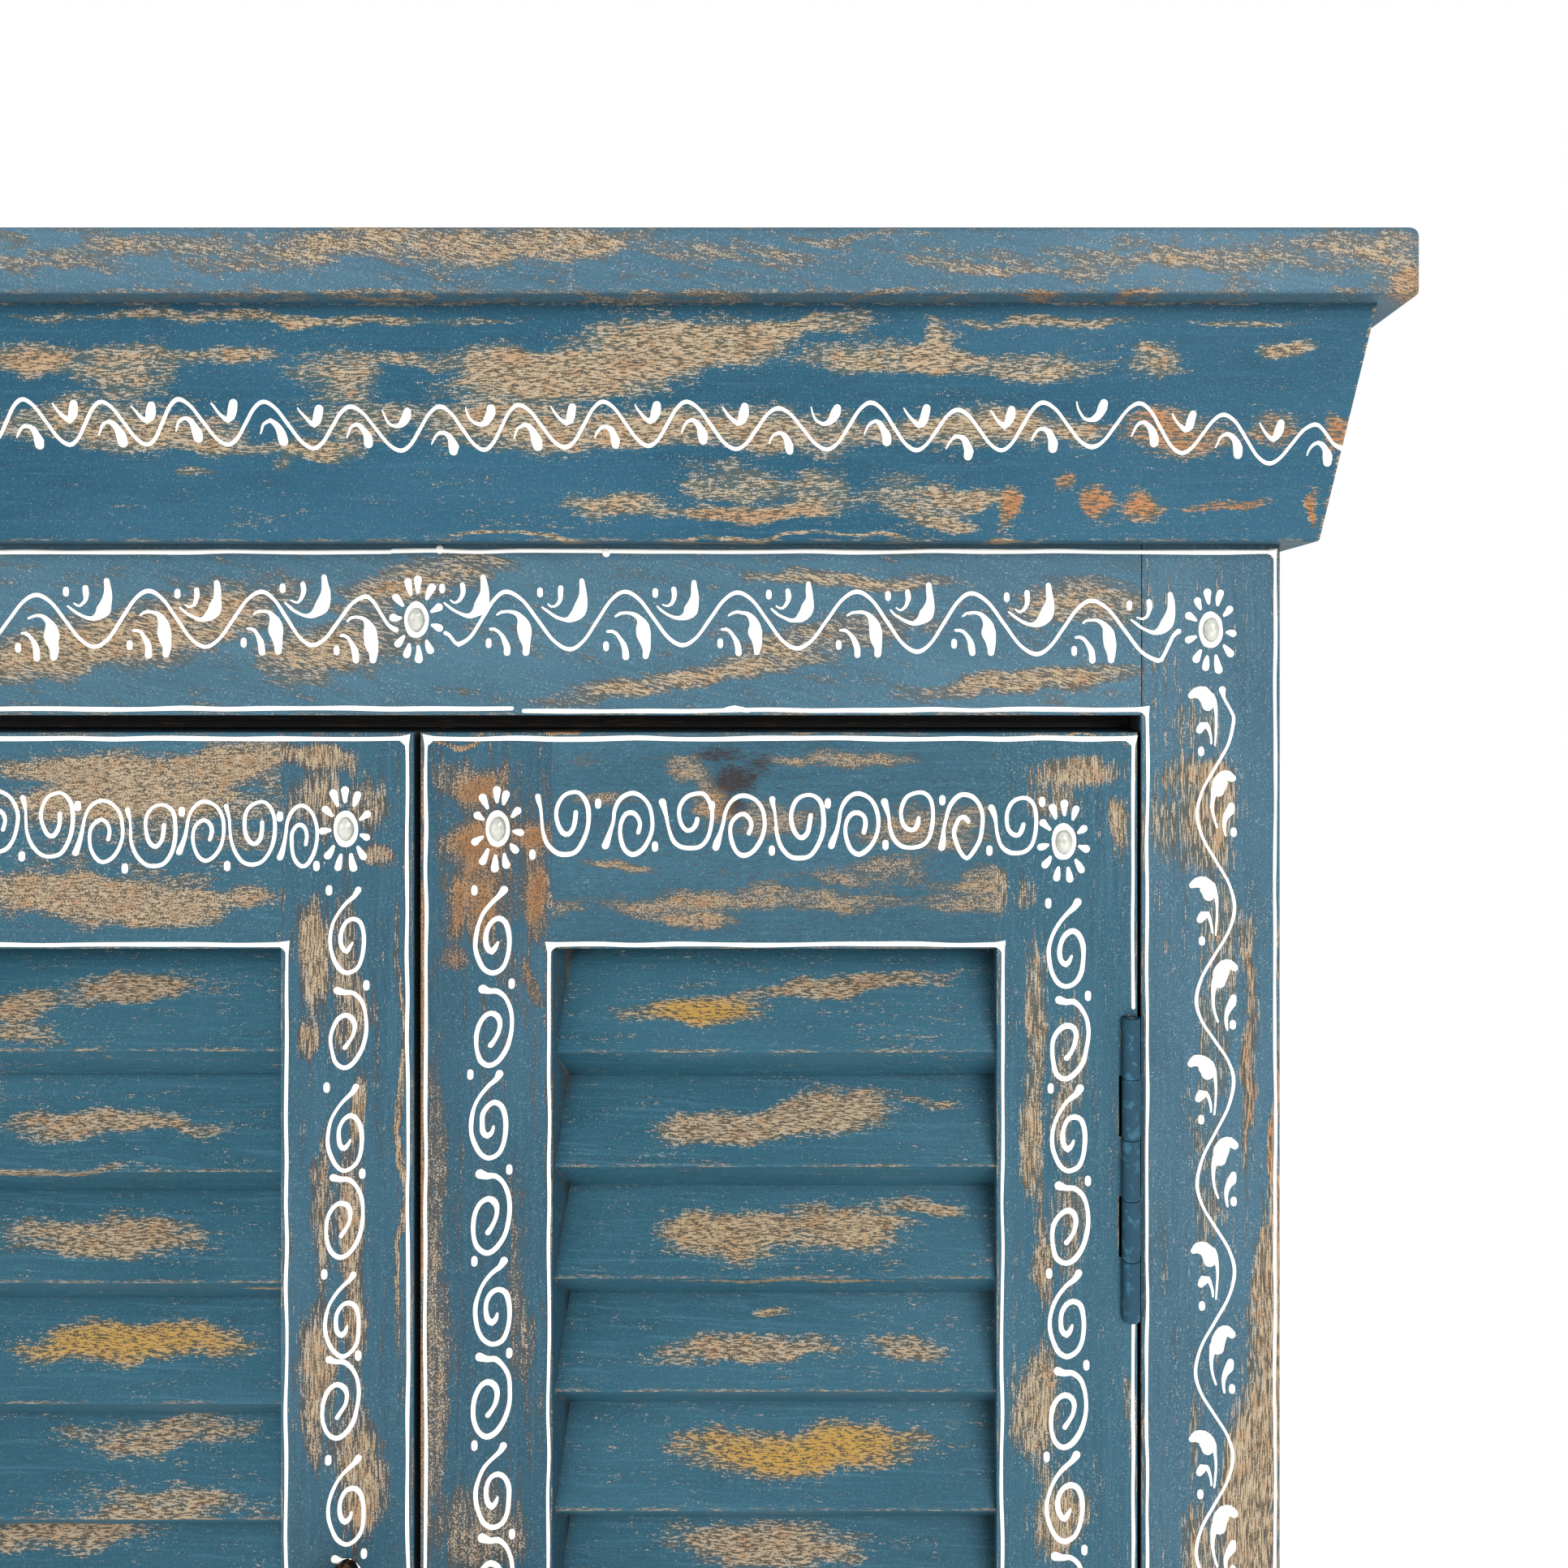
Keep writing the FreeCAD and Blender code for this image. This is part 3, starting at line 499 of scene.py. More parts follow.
        step = add_node(tree, "ShaderNodeMath", {"operation": "MULTIPLY_ADD", 1: -0.5}, {
            0: shares["bare"], 2: fine})
        bump = add_node(tree, "ShaderNodeBump", {"Strength": 0.3, "Distance": 0.22 * MM}, {
            "Height": step.outputs[0]})
        return {"IOR": 1.45, "Specular IOR Level": 0.22}, {
            "Base Color": colour, "Roughness": rough, "Normal": bump.outputs[0]}


@dataclass(frozen=True)
class ConePaint(Finish):
    """White acrylic squeezed from a paper cone, dried in rounded beads with a soft sheen."""

    name: str = "white_cone_paint"
    shade: str = "#fbf9f4"
    dull: str = "#efebe1"

    def surface(self, tree: Tree, where: Socket) -> tuple[dict, dict]:
        """Lay out the white paint, a little uneven as it dried.

        Args:
            tree: The material's node tree.
            where: Object coordinates.

        Returns:
            The shader's settings and its links.
        """
        # Unevenness about 2.5 mm across.
        dried = add_node(tree, "ShaderNodeTexNoise", {"Scale": 400.0, "Detail": 2.0}, {"Vector": where})
        tint = add_node(tree, "ShaderNodeMix", {
            "data_type": "RGBA", 6: linear(self.shade), 7: linear(self.dull)}, {0: dried.outputs["Fac"]})
        bump = add_node(tree, "ShaderNodeBump", {"Strength": 0.2, "Distance": 0.15 * MM}, {
            "Height": dried.outputs["Fac"]})
        return {"Roughness": 0.5}, {"Base Color": tint.outputs[2], "Normal": bump.outputs[0]}


@dataclass(frozen=True)
class BareWood(Finish):
    """Sanded mango wood with no paint, as inside the cupboards: tan, with darker pores."""

    grain: Grain
    seed: float = 0.0
    dark: str = "#8f6a45"
    light: str = "#c9a57a"
    pore: str = "#5e452c"

    def surface(self, tree: Tree, where: Socket) -> tuple[dict, dict]:
        """Lay out the bare wood with its figure and pores.

        Args:
            tree: The material's node tree.
            where: Object coordinates.

        Returns:
            The shader's settings and its links.
        """
        spot = add_node(tree, "ShaderNodeMapping", {
            "vector_type": "TEXTURE", "Location": (self.seed, self.seed, self.seed),
            "Scale": self.grain.unit(16.0, 1.0)}, {"Vector": where})
        # Figure about 12 mm wide, pores about 0.8 mm.
        figure = add_node(tree, "ShaderNodeTexNoise", {
            "Scale": 0.08, "Detail": 4.0, "Distortion": 0.6}, {"Vector": spot.outputs[0]})
        pores = add_node(tree, "ShaderNodeTexNoise", {"Scale": 1.2, "Detail": 3.0}, {
            "Vector": spot.outputs[0]})
        ramp = add_node(tree, "ShaderNodeMix", {
            "data_type": "RGBA", 6: linear(self.dark), 7: linear(self.light)}, {0: figure.outputs["Fac"]})
        share = add_node(tree, "ShaderNodeMapRange", {1: 0.42, 2: 0.34, 3: 0.0, 4: 0.6}, {
            0: pores.outputs["Fac"]})
        tone = add_node(tree, "ShaderNodeMix", {"data_type": "RGBA", 7: linear(self.pore)}, {
            0: share.outputs[0], 6: ramp.outputs[2]})
        bump = add_node(tree, "ShaderNodeBump", {"Strength": 0.25, "Distance": 0.2 * MM}, {
            "Height": pores.outputs["Fac"]})
        return {"Roughness": 0.62}, {"Base Color": tone.outputs[2], "Normal": bump.outputs[0]}


@dataclass(frozen=True)
class Ironwork(Finish):
    """Iron under wax, paint or nothing: one body colour, a second where hands and tools rub, and painted
    shade in its corners.
    """

    shade: str
    rubbed: str
    metallic: float
    roughness: float
    gloss: float = 0.5
    worn_from: float = 0.56
    # The colour of the near-black painted shade in the iron's corners.
    crevice_shade: str = "#0a0b0c"

    def surface(self, tree: Tree, where: Socket) -> tuple[dict, dict]:
        """Lay out the iron's finish with its small worn spots and its painted shade.

        Args:
            tree: The material's node tree.
            where: Object coordinates.

        Returns:
            The shader's settings and its links.
        """
        # Spots about 3 mm across with ragged rims.
        spots = add_node(tree, "ShaderNodeTexNoise", {"Scale": 260.0, "Detail": 4.0, "Roughness": 0.65}, {
            "Vector": where})
        share = add_node(tree, "ShaderNodeMapRange", {1: self.worn_from, 2: self.worn_from + 0.06}, {
            0: spots.outputs["Fac"]})
        tone = add_node(tree, "ShaderNodeMix", {
            "data_type": "RGBA", 6: linear(self.shade), 7: linear(self.rubbed)}, {0: share.outputs[0]})
        # Painted shade, near black within 5 mm of a corner: between the knuckles and behind the barrel.
        corner = add_node(tree, "ShaderNodeAmbientOcclusion", {
            "samples": 4, "Distance": 5.0 * MM}).outputs["AO"]
        crevice_shade = add_node(tree, "ShaderNodeMapRange", {1: 0.8, 2: 0.4, 4: 0.95}, {0: corner})
        tone = add_node(tree, "ShaderNodeMix", {"data_type": "RGBA", 7: linear(self.crevice_shade)}, {
            0: crevice_shade.outputs[0], 6: tone.outputs[2]})
        bump = add_node(tree, "ShaderNodeBump", {"Strength": 0.3, "Distance": 0.2 * MM}, {
            "Height": spots.outputs["Fac"]})
        settings = {"Metallic": self.metallic, "Specular IOR Level": self.gloss, "Roughness": self.roughness}
        return settings, {"Base Color": tone.outputs[2], "Normal": bump.outputs[0]}


@dataclass(frozen=True)
class StoneGlass(Finish):
    """A domed glass stone over a pale backing, with a painted highlight in the middle and painted grey shade
    towards the rim.
    """

    painted_rim_shade: str = "#868a84"
    dull: str = "#8d8f88"
    bright: str = "#d6d6cc"

    def surface(self, tree: Tree, where: Socket) -> tuple[dict, dict]:
        """Lay out the glass, with painted shade that darkens it as the dome turns away from the front.

        Args:
            tree: The material's node tree.
            where: Object coordinates.

        Returns:
            The shader's settings and its links.
        """
        # Painted highlight and shade: lighter where the dome faces the front, grey where it turns away.
        facing = add_node(tree, "ShaderNodeTexCoord").outputs["Normal"]
        front = add_node(tree, "ShaderNodeSeparateXYZ", links={0: facing}).outputs[1]
        share = add_node(tree, "ShaderNodeMapRange", {1: -0.55, 2: -0.97}, {0: front})
        # Streaks of the backing about 3 mm long.
        foil = add_node(tree, "ShaderNodeTexNoise", {"Scale": 330.0, "Detail": 3.0}, {"Vector": where})
        heart = add_node(tree, "ShaderNodeMix", {
            "data_type": "RGBA", 6: linear(self.dull), 7: linear(self.bright)}, {0: foil.outputs["Fac"]})
        tone = add_node(tree, "ShaderNodeMix", {"data_type": "RGBA", 6: linear(self.painted_rim_shade)}, {
            0: share.outputs[0], 7: heart.outputs[2]})
        return {"Roughness": 0.08, "IOR": 1.52, "Coat Weight": 0.6}, {"Base Color": tone.outputs[2]}


@dataclass(frozen=True)
class Face:
    """A flat face that takes painted work: where it starts, and its directions across and up."""

    start: Vector
    across: Vector
    up: Vector

    @property
    def out(self) -> Vector:
        """The direction straight out of the face."""
        return self.across.cross(self.up)

    @property
    def matrix(self) -> Matrix:
        """From the face's own plane to the sideboard, in metres."""
        turned = Matrix((self.across, self.up, self.out)).transposed().to_4x4()
        return Matrix.Translation(self.start * MM) @ turned

    def point(self, across: float, up: float) -> Vector:
        """A point of the face in the sideboard's own millimetres."""
        return self.start + self.across * across + self.up * up


@dataclass(frozen=True)
class Sight:
    """The eye that looks at the corner, in a square frame of 1932 pixels."""

    eye: Vector = field(default_factory=lambda: Vector((474.65, -574.0, 779.8)))
    lens: float = 26.0
    sensor: float = 36.0
    frame: float = 1932.0
    centre: Place = (1150.0, 800.0)

    def onto(self, face: Face, across: float, down: float) -> Place:
        """Where a place of the picture lies on a face.

        Args:
            face: The face that it is painted on.
            across: Pixels from the picture's left side.
            down: Pixels from its top.

        Returns:
            The place across and up the face, in millimetres.
        """
        reach = self.lens / self.sensor * self.frame
        ray = Vector(((across - self.centre[0]) / reach, 1.0, (self.centre[1] - down) / reach))
        length = (face.start - self.eye).dot(face.out) / ray.dot(face.out)
        spot = self.eye + ray * length - face.start
        return spot.dot(face.across), spot.dot(face.up)

    def ellipse(self, face: Face, across: float, down: float, half_width: float,
                half_height: float) -> tuple[Vector, float, float]:
        """An ellipse of the picture laid on a face.

        Args:
            face: The face that it lies on.
            across: Pixels from the picture's left side to its middle.
            down: Pixels from the picture's top to its middle.
            half_width: Half its width in pixels.
            half_height: Half its height in pixels.

        Returns:
            Its middle, half its width and half its height, in millimetres.
        """
        middle = self.onto(face, across, down)
        corner = self.onto(face, across + half_width, down - half_height)
        return face.point(*middle), corner[0] - middle[0], corner[1] - middle[1]

    def camera(self) -> None:
        """Add the camera at the eye and make it the scene's."""
        bpy.ops.object.select_all(action="DESELECT")
        bpy.ops.object.camera_add(location=self.eye * MM, rotation=(math.radians(90), 0, 0))
        camera = bpy.context.object
        camera.data.lens = self.lens
        camera.data.sensor_width = self.sensor
        half = self.frame / 2
        camera.data.shift_x = (half - self.centre[0]) / self.frame
        camera.data.shift_y = (self.centre[1] - half) / self.frame
        camera.data.clip_start = 0.02
        bpy.context.scene.camera = camera


@dataclass(frozen=True)
class Stroke:
    """One pull of the paint cone: places along it, each with the half width of the bead there."""

    touches: Shape
    closed: bool = False

    def placed(self, across: float, up: float, size: float = 1.0, wide: float = 1.0) -> "Stroke":
        """The same stroke somewhere else.

        Args:
            across: Where its middle goes, across the face.
            up: Where its middle goes, up the face.
            size: How much larger it is.
            wide: How much wider again.

        Returns:
            The moved stroke.
        """
        return Stroke(tuple(
            (across + x * wide * size, up + y * size, half * math.sqrt(size))
            for x, y, half in self.touches), self.closed)

    def unsteady(self, rng: random.Random, amount: float) -> "Stroke":
        """The same stroke by an unsteady hand.

        Args:
            rng: The hand.
            amount: How far each place is off, at most.

        Returns:
            The stroke with its places and widths a little off.
        """
        return Stroke(tuple(
            (x + rng.uniform(-amount, amount), y + rng.uniform(-amount, amount),
             half * rng.uniform(0.92, 1.1)) for x, y, half in self.touches), self.closed)

    def flowing(self, step: float) -> list[Touch]:
        """The stroke as a smooth line through its places, with round ends unless it is closed.

        Args:
            step: The distance between its points.

        Returns:
            Points along it, close together.
        """
        known = list(self.touches)
        count = len(known)
        points: list[Touch] = []
        for at in range(count if self.closed else count - 1):
            near = [at + shift for shift in (-1, 0, 1, 2)]
            if self.closed:
                around = [known[spot % count] for spot in near]
            else:
                around = [known[min(max(spot, 0), count - 1)] for spot in near]
            start, end = around[1:3]
            parts = max(1, round(math.hypot(end[0] - start[0], end[1] - start[1]) / step))
            for part in range(parts):
                t = part / parts
                weights = (
                    -0.5 * t + t * t - 0.5 * t ** 3, 1 - 2.5 * t * t + 1.5 * t ** 3,
                    0.5 * t + 2 * t * t - 1.5 * t ** 3, -0.5 * t * t + 0.5 * t ** 3)
                points.append(tuple(
                    sum(weight * touch[axis] for weight, touch in zip(weights, around)) for axis in range(3)))
        if self.closed:
            return points
        points.append(known[-1])
        return self.capped(self.capped(points)[::-1])[::-1]

    @staticmethod
    def capped(points: list[Touch]) -> list[Touch]:
        """The points with a round end beyond the last one.

        Args:
            points: Points along a stroke.

        Returns:
            The same points and four more, which narrow as a half circle does.
        """
        (x0, y0, _), (x1, y1, half) = points[-2], points[-1]
        length = math.hypot(x1 - x0, y1 - y0) or 1.0
        step_x, step_y = (x1 - x0) / length, (y1 - y0) / length
        return points + [
            (x1 + step_x * half * reach, y1 + step_y * half * reach, half * math.sqrt(1 - reach * reach))
            for reach in (0.4, 0.7, 0.9, 0.985)]


@dataclass
class PaintedWork:
    """Strokes of cone paint on one face, one piece that rides on one body."""

    name: str
    body: str
    face: Face
    strokes: list[Stroke] = field(default_factory=list)
    step: float = 1.1
    rise: float = 0.62
    thinnest: float = 0.05

    def build(self, paint: Material) -> bpy.types.Object:
        """Squeeze out every stroke and make them one mesh.

        Args:
            paint: The material of the beads.

        Returns:
            The finished piece, already riding on its body.
        """
        tip = self.cone_tip()
        bpy.ops.object.select_all(action="DESELECT")
        bpy.ops.curve.primitive_nurbs_path_add()
        line = bpy.context.object
        line.name = line.data.name = self.name
        curve = line.data
        curve.splines.clear()
        curve.dimensions = "2D"
        curve.fill_mode = "NONE"
        curve.bevel_mode = "OBJECT"
        curve.bevel_object = tip
        curve.use_fill_caps = True
        for stroke in self.strokes:
            points = stroke.flowing(self.step)
            spline = curve.splines.new("POLY")
            spline.points.add(len(points) - 1)
            spline.use_cyclic_u = stroke.closed
            for point, (across, up, half) in zip(spline.points, points):
                point.co = (across * MM, up * MM, 0.0, 1.0)
                point.radius = max(half, self.thinnest) * MM
        line.matrix_world = self.face.matrix
        bpy.ops.object.convert(target="MESH")
        piece = bpy.context.object
        bpy.ops.object.transform_apply(location=True, rotation=True, scale=True)
        bpy.data.objects.remove(tip)
        bpy.ops.object.mode_set(mode="EDIT")
        bpy.ops.mesh.select_all(action="SELECT")
        bpy.ops.mesh.remove_doubles(threshold=0.000002)
        bpy.ops.mesh.normals_make_consistent(inside=False)
        bpy.ops.object.mode_set(mode="OBJECT")
        bpy.ops.object.shade_smooth_by_angle(angle=math.radians(50))
        piece.data.materials.clear()
        piece.data.materials.append(paint)
        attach(piece, self.body)
        faces = len(piece.data.polygons)
        LOG.info("%s: %d strokes, %d faces on %s", self.name, len(self.strokes), faces, self.body)
        return piece

    def cone_tip(self) -> bpy.types.Object:
        """The bead's outline across: flat on the face and rounded above it.

        Returns:
            A closed curve one unit in radius, which each bead scales to its own half width.
        """
        bpy.ops.object.select_all(action="DESELECT")
        bpy.ops.curve.primitive_nurbs_path_add()
        tip = bpy.context.object
        tip.data.splines.clear()
        outline = tip.data.splines.new("POLY")
        turns = (-8, 30, 62, 90, 118, 150, 188)
        outline.points.add(len(turns) - 1)
        outline.use_cyclic_u = True
        for point, turn in zip(outline.points, turns):
            angle = math.radians(turn)
            point.co = (math.cos(angle), self.rise * math.sin(angle), 0.0, 1.0)
        return tip


# Strokes taken from the painter's own hand, in millimetres about each stroke's middle.
CUP: Shape = (
    (-9.4, 9.4, 1.08), (-9.0, 7.6, 0.89), (-8.4, 5.1, 0.57), (-8.1, 1.3, 0.57), (-7.8, -2.5, 0.64),
    (-6.2, -7.0, 0.76), (-3.2, -10.4, 0.83), (0.3, -11.3, 0.89), (4.1, -10.2, 0.83),
    (7.0, -6.4, 0.83), (8.5, -1.3, 0.83), (8.6, 4.5, 0.83), (7.5, 8.6, 0.83), (5.1, 10.8, 0.76),
    (2.5, 11.0, 0.76), (-0.3, 9.6, 0.76), (-2.2, 6.7, 0.76), (-2.7, 3.2, 0.76), (-1.9, -1.0, 0.83),
    (-0.3, -3.5, 0.89), (1.5, -4.0, 0.96), (3.2, -2.2, 0.89), (3.9, 0.6, 0.83), (4.1, 3.7, 0.89))
WIDE_CUP: Shape = (
    (-9.7, 6.7, 1.27), (-8.9, 4.5, 1.08), (-8.2, 1.3, 0.64), (-7.6, -2.5, 0.64),
    (-6.1, -6.7, 0.76), (-3.5, -9.0, 0.83), (-0.3, -9.6, 0.83), (3.5, -9.0, 0.76),
    (6.1, -6.4, 0.76), (7.5, -1.9, 0.76), (7.8, 3.2, 0.76), (6.9, 7.3, 0.76), (4.8, 9.7, 0.76),
    (1.9, 9.9, 0.76), (-1.3, 8.6, 0.76), (-3.3, 5.7, 0.76), (-3.8, 2.2, 0.76), (-2.9, -1.3, 0.76),
    (-1.0, -3.1, 0.83), (1.0, -2.9, 0.89), (2.2, -1.0, 0.89), (2.7, 0.8, 0.76))
CROOK: Shape = (
    (-11.3, -7.5, 1.40), (-10.8, -6.1, 1.27), (-9.6, -2.5, 0.89), (-8.7, 1.3, 0.70),
    (-8.0, 5.1, 0.70), (-6.4, 8.6, 0.76), (-3.8, 10.7, 0.83), (-1.0, 11.2, 0.83), (2.2, 9.7, 0.76),
    (4.5, 6.7, 0.76), (5.5, 2.5, 0.76), (5.3, -2.2, 0.76), (3.8, -6.4, 0.83), (1.3, -9.6, 0.89),
    (-1.6, -10.7, 0.89), (-4.1, -9.2, 0.83), (-5.7, -6.1, 0.76), (-6.2, -2.2, 0.76),
    (-5.7, 1.3, 0.76), (-3.8, 3.8, 0.83), (-1.6, 4.3, 0.89), (0.3, 2.9, 0.83), (1.0, 0.3, 0.83),
    (0.3, -2.7, 0.83))
OPEN_CROOK: Shape = (
    (-9.4, -7.6, 1.34), (-9.0, -5.4, 1.21), (-8.4, -1.3, 0.76), (-7.8, 2.5, 0.70),
    (-6.4, 7.0, 0.83), (-4.1, 10.2, 0.89), (-1.6, 11.3, 0.89), (1.6, 10.7, 0.83), (4.1, 8.0, 0.83),
    (5.4, 3.8, 0.76), (5.4, -0.6, 0.76), (4.3, -5.1, 0.76), (2.2, -9.2, 0.83), (-0.2, -11.5, 0.70),
    (-2.5, -9.2, 0.76), (-4.1, -5.7, 0.76), (-4.7, -2.2, 0.76), (-4.0, 1.0, 0.83),
    (-2.5, 2.9, 0.89), (-1.0, 3.2, 0.96), (0.4, 1.8, 0.83))
RIGHT_CURL: Shape = (
    (-3.9, 13.8, 1.64), (-1.3, 13.1, 1.12), (1.6, 13.1, 0.98), (4.3, 10.8, 0.85), (6.1, 6.9, 0.79),
    (6.7, 2.0, 0.79), (6.2, -3.3, 0.85), (4.6, -8.5, 0.92), (1.6, -12.8, 0.98),
    (-1.6, -14.3, 0.98), (-4.6, -12.5, 0.92), (-6.0, -8.5, 0.79), (-6.4, -3.9, 0.79),
    (-5.6, 0.0, 0.85), (-3.6, 3.4, 0.92), (-1.0, 4.9, 1.05), (1.3, 3.9, 1.12), (2.3, 1.3, 0.92),
    (1.8, -2.0, 0.79), (0.3, -4.9, 0.79), (-1.1, -6.9, 0.98))
LEFT_CURL: Shape = (
    (4.1, 15.9, 1.44), (2.6, 13.8, 1.05), (-0.3, 11.2, 0.79), (-3.0, 7.9, 0.72), (-5.1, 3.9, 0.72),
    (-6.2, -0.7, 0.79), (-6.2, -5.3, 0.79), (-5.1, -9.5, 0.85), (-3.0, -13.0, 0.92),
    (0.0, -14.6, 0.92), (3.3, -13.0, 0.85), (5.3, -9.2, 0.85), (6.1, -3.9, 0.85), (5.9, 0.7, 0.92),
    (4.6, 4.1, 0.98), (2.2, 5.4, 0.98), (-0.3, 4.3, 0.92), (-2.0, 1.3, 0.85), (-2.4, -2.3, 0.92),
    (-1.8, -5.4, 0.98), (-0.3, -6.6, 1.05), (1.1, -5.1, 0.79), (1.8, -3.4, 0.53))
COMMAS_OVER: tuple[Shape, ...] = (
    ((-5.4, 14.6, 0.23), (-4.9, 12.6, 0.34), (-3.9, 10.6, 0.46), (-2.6, 9.2, 0.57),
     (-1.0, 8.8, 0.69), (0.9, 9.3, 1.15), (2.3, 10.9, 1.49), (3.3, 12.9, 1.61), (3.6, 14.2, 1.38)),
    ((-4.0, 13.8, 0.23), (-3.2, 12.6, 0.40), (-2.0, 10.9, 0.52), (-0.6, 9.3, 0.69),
     (0.9, 8.4, 0.97), (2.1, 9.3, 1.38), (2.9, 11.5, 1.66), (3.4, 13.8, 1.38)))
COMMAS_UNDER: tuple[Shape, ...] = (
    ((-2.3, -10.9, 0.23), (-1.7, -9.5, 0.34), (-0.9, -7.7, 0.46), (0.3, -6.8, 0.57),
     (1.5, -6.3, 0.69), (3.0, -7.2, 0.92), (4.3, -8.9, 1.20), (5.2, -11.2, 1.72), (5.4, -13.3, 1.55)),
    ((-3.7, -12.6, 0.23), (-3.0, -11.2, 0.40), (-1.8, -9.6, 0.52), (-0.6, -8.8, 0.63),
     (0.9, -8.9, 0.75), (2.2, -9.7, 1.03), (3.0, -11.5, 1.26), (3.7, -13.5, 1.72), (3.6, -15.2, 1.49)))
LEAF_OVER: Shape = (
    (-9.6, 14.7, 0.33), (-8.1, 13.4, 0.48), (-6.5, 12.2, 0.53), (-4.5, 11.1, 0.57),
    (-2.6, 10.4, 0.67), (-0.7, 10.3, 0.96), (1.2, 11.2, 1.66), (3.1, 13.1, 2.50),
    (4.1, 15.5, 2.25), (4.6, 18.6, 1.53), (4.5, 21.5, 1.24), (4.2, 23.9, 0.96))
SPRIG_OVER: Shape = (
    (-7.5, 15.6, 0.29), (-6.5, 15.0, 0.38), (-5.4, 14.9, 0.43), (-4.2, 15.8, 0.62),
    (-3.4, 17.4, 0.76), (-3.1, 19.4, 1.00), (-3.3, 21.3, 0.96))
LEAF_UNDER: Shape = (
    (-3.3, -8.6, 0.38), (-1.9, -7.7, 0.53), (-0.2, -7.4, 0.57), (1.7, -7.5, 0.62),
    (3.6, -8.1, 0.81), (5.2, -9.6, 1.30), (6.2, -11.9, 2.15), (6.6, -14.8, 2.60),
    (7.0, -17.4, 2.20), (7.5, -20.1, 1.50), (7.3, -22.4, 1.20))
SPRIG_UNDER: Shape = (
    (-6.0, -13.9, 0.48), (-4.5, -13.9, 0.62), (-3.1, -14.6, 0.62), (-1.7, -16.3, 0.76),
    (-0.5, -18.4, 1.05), (0.1, -20.6, 1.24), (0.2, -22.7, 1.19))
POST_LEAF_LEFT: Shape = (
    (-15.2, 7.6, 1.20), (-13.6, 8.5, 2.00), (-11.3, 8.3, 2.55), (-9.7, 6.4, 2.90), (-9.4, 4.2, 2.35))
POST_TAIL_LEFT: Shape = (
    (-8.4, 7.2, 1.60), (-7.1, 5.2, 1.05), (-6.5, 2.0, 0.62), (-6.3, -2.0, 0.47), (-6.5, -6.4, 0.42),
    (-6.8, -10.4, 0.32))
POST_TAIL_RIGHT: Shape = (
    (6.8, 8.2, 1.50), (6.0, 5.0, 0.95), (5.8, 1.4, 0.66), (6.3, -2.4, 0.52), (7.5, -6.2, 0.42))
POST_SPRIG_LEFT: Shape = (
    (-12.4, -4.8, 1.30), (-11.3, -3.4, 1.60), (-9.8, -3.2, 1.00), (-8.8, -4.9, 0.64),
    (-8.2, -7.4, 0.47), (-8.0, -9.6, 0.37))
POST_LEAF_RIGHT: Shape = (
    (13.3, 12.6, 1.45), (11.8, 13.6, 1.85), (10.0, 13.1, 2.35), (8.5, 10.4, 2.85), (8.1, 7.7, 2.35))
POST_SPRIG_RIGHT: Shape = (
    (13.0, 2.0, 1.25), (12.5, 0.2, 1.65), (11.2, -1.7, 1.15), (10.4, -4.2, 0.78),
    (10.4, -6.8, 0.58), (10.8, -9.2, 0.40))
SCROLLS: dict[str, Shape] = {
    "cup": CUP, "wide_cup": WIDE_CUP, "crook": CROOK, "open_crook": OPEN_CROOK, "right": RIGHT_CURL,
    "left": LEFT_CURL}

# Turning places of the vines as the picture shows them, in pixels across and down it.
CORNICE_PEAKS: tuple[Place, ...] = (
    (28, 492), (125, 495), (220, 492), (325, 495), (432, 501), (542, 501), (639, 499), (743, 495),
    (846, 495), (959, 503), (1073, 496), (1180, 505), (1285, 496), (1404, 497), (1508, 511), (1620, 523))
CORNICE_END: Place = (1652, 552)
RAIL_TURNS: tuple[Place, ...] = (
    (549, 780), (565, 794), (624, 729), (702, 800), (770, 729), (841, 795), (909, 730), (982, 799),
    (1056, 729), (1130, 803), (1197, 731), (1277, 806), (1345, 740), (1427, 814), (1452, 778))
LEFT_RAIL_TURNS: tuple[Place, ...] = (
    (-23, 795), (45, 733), (117, 797), (183, 728), (253, 797), (322, 729), (385, 795), (450, 735), (488, 776))
POST_TURNS: tuple[Place, ...] = (
    (1506, 850), (1520, 888), (1475, 1003), (1521, 1118), (1474, 1233), (1520, 1332), (1475, 1459),
    (1521, 1567), (1473, 1690), (1519, 1795), (1474, 1912))


def dot(across: float, up: float, half_width: float = 1.15, half_height: float = 1.9) -> Stroke:
    """An upright oval dot.

    Args:
        across: Its middle across the face.
        up: Its middle up the face.
        half_width: Half its width.
        half_height: Half its height.

    Returns:
        One stroke.
    """
    reach = max(half_height - half_width, 0.05)
    return Stroke((
        (across, up - reach, half_width), (across, up, half_width * 1.04), (across, up + reach, half_width)))


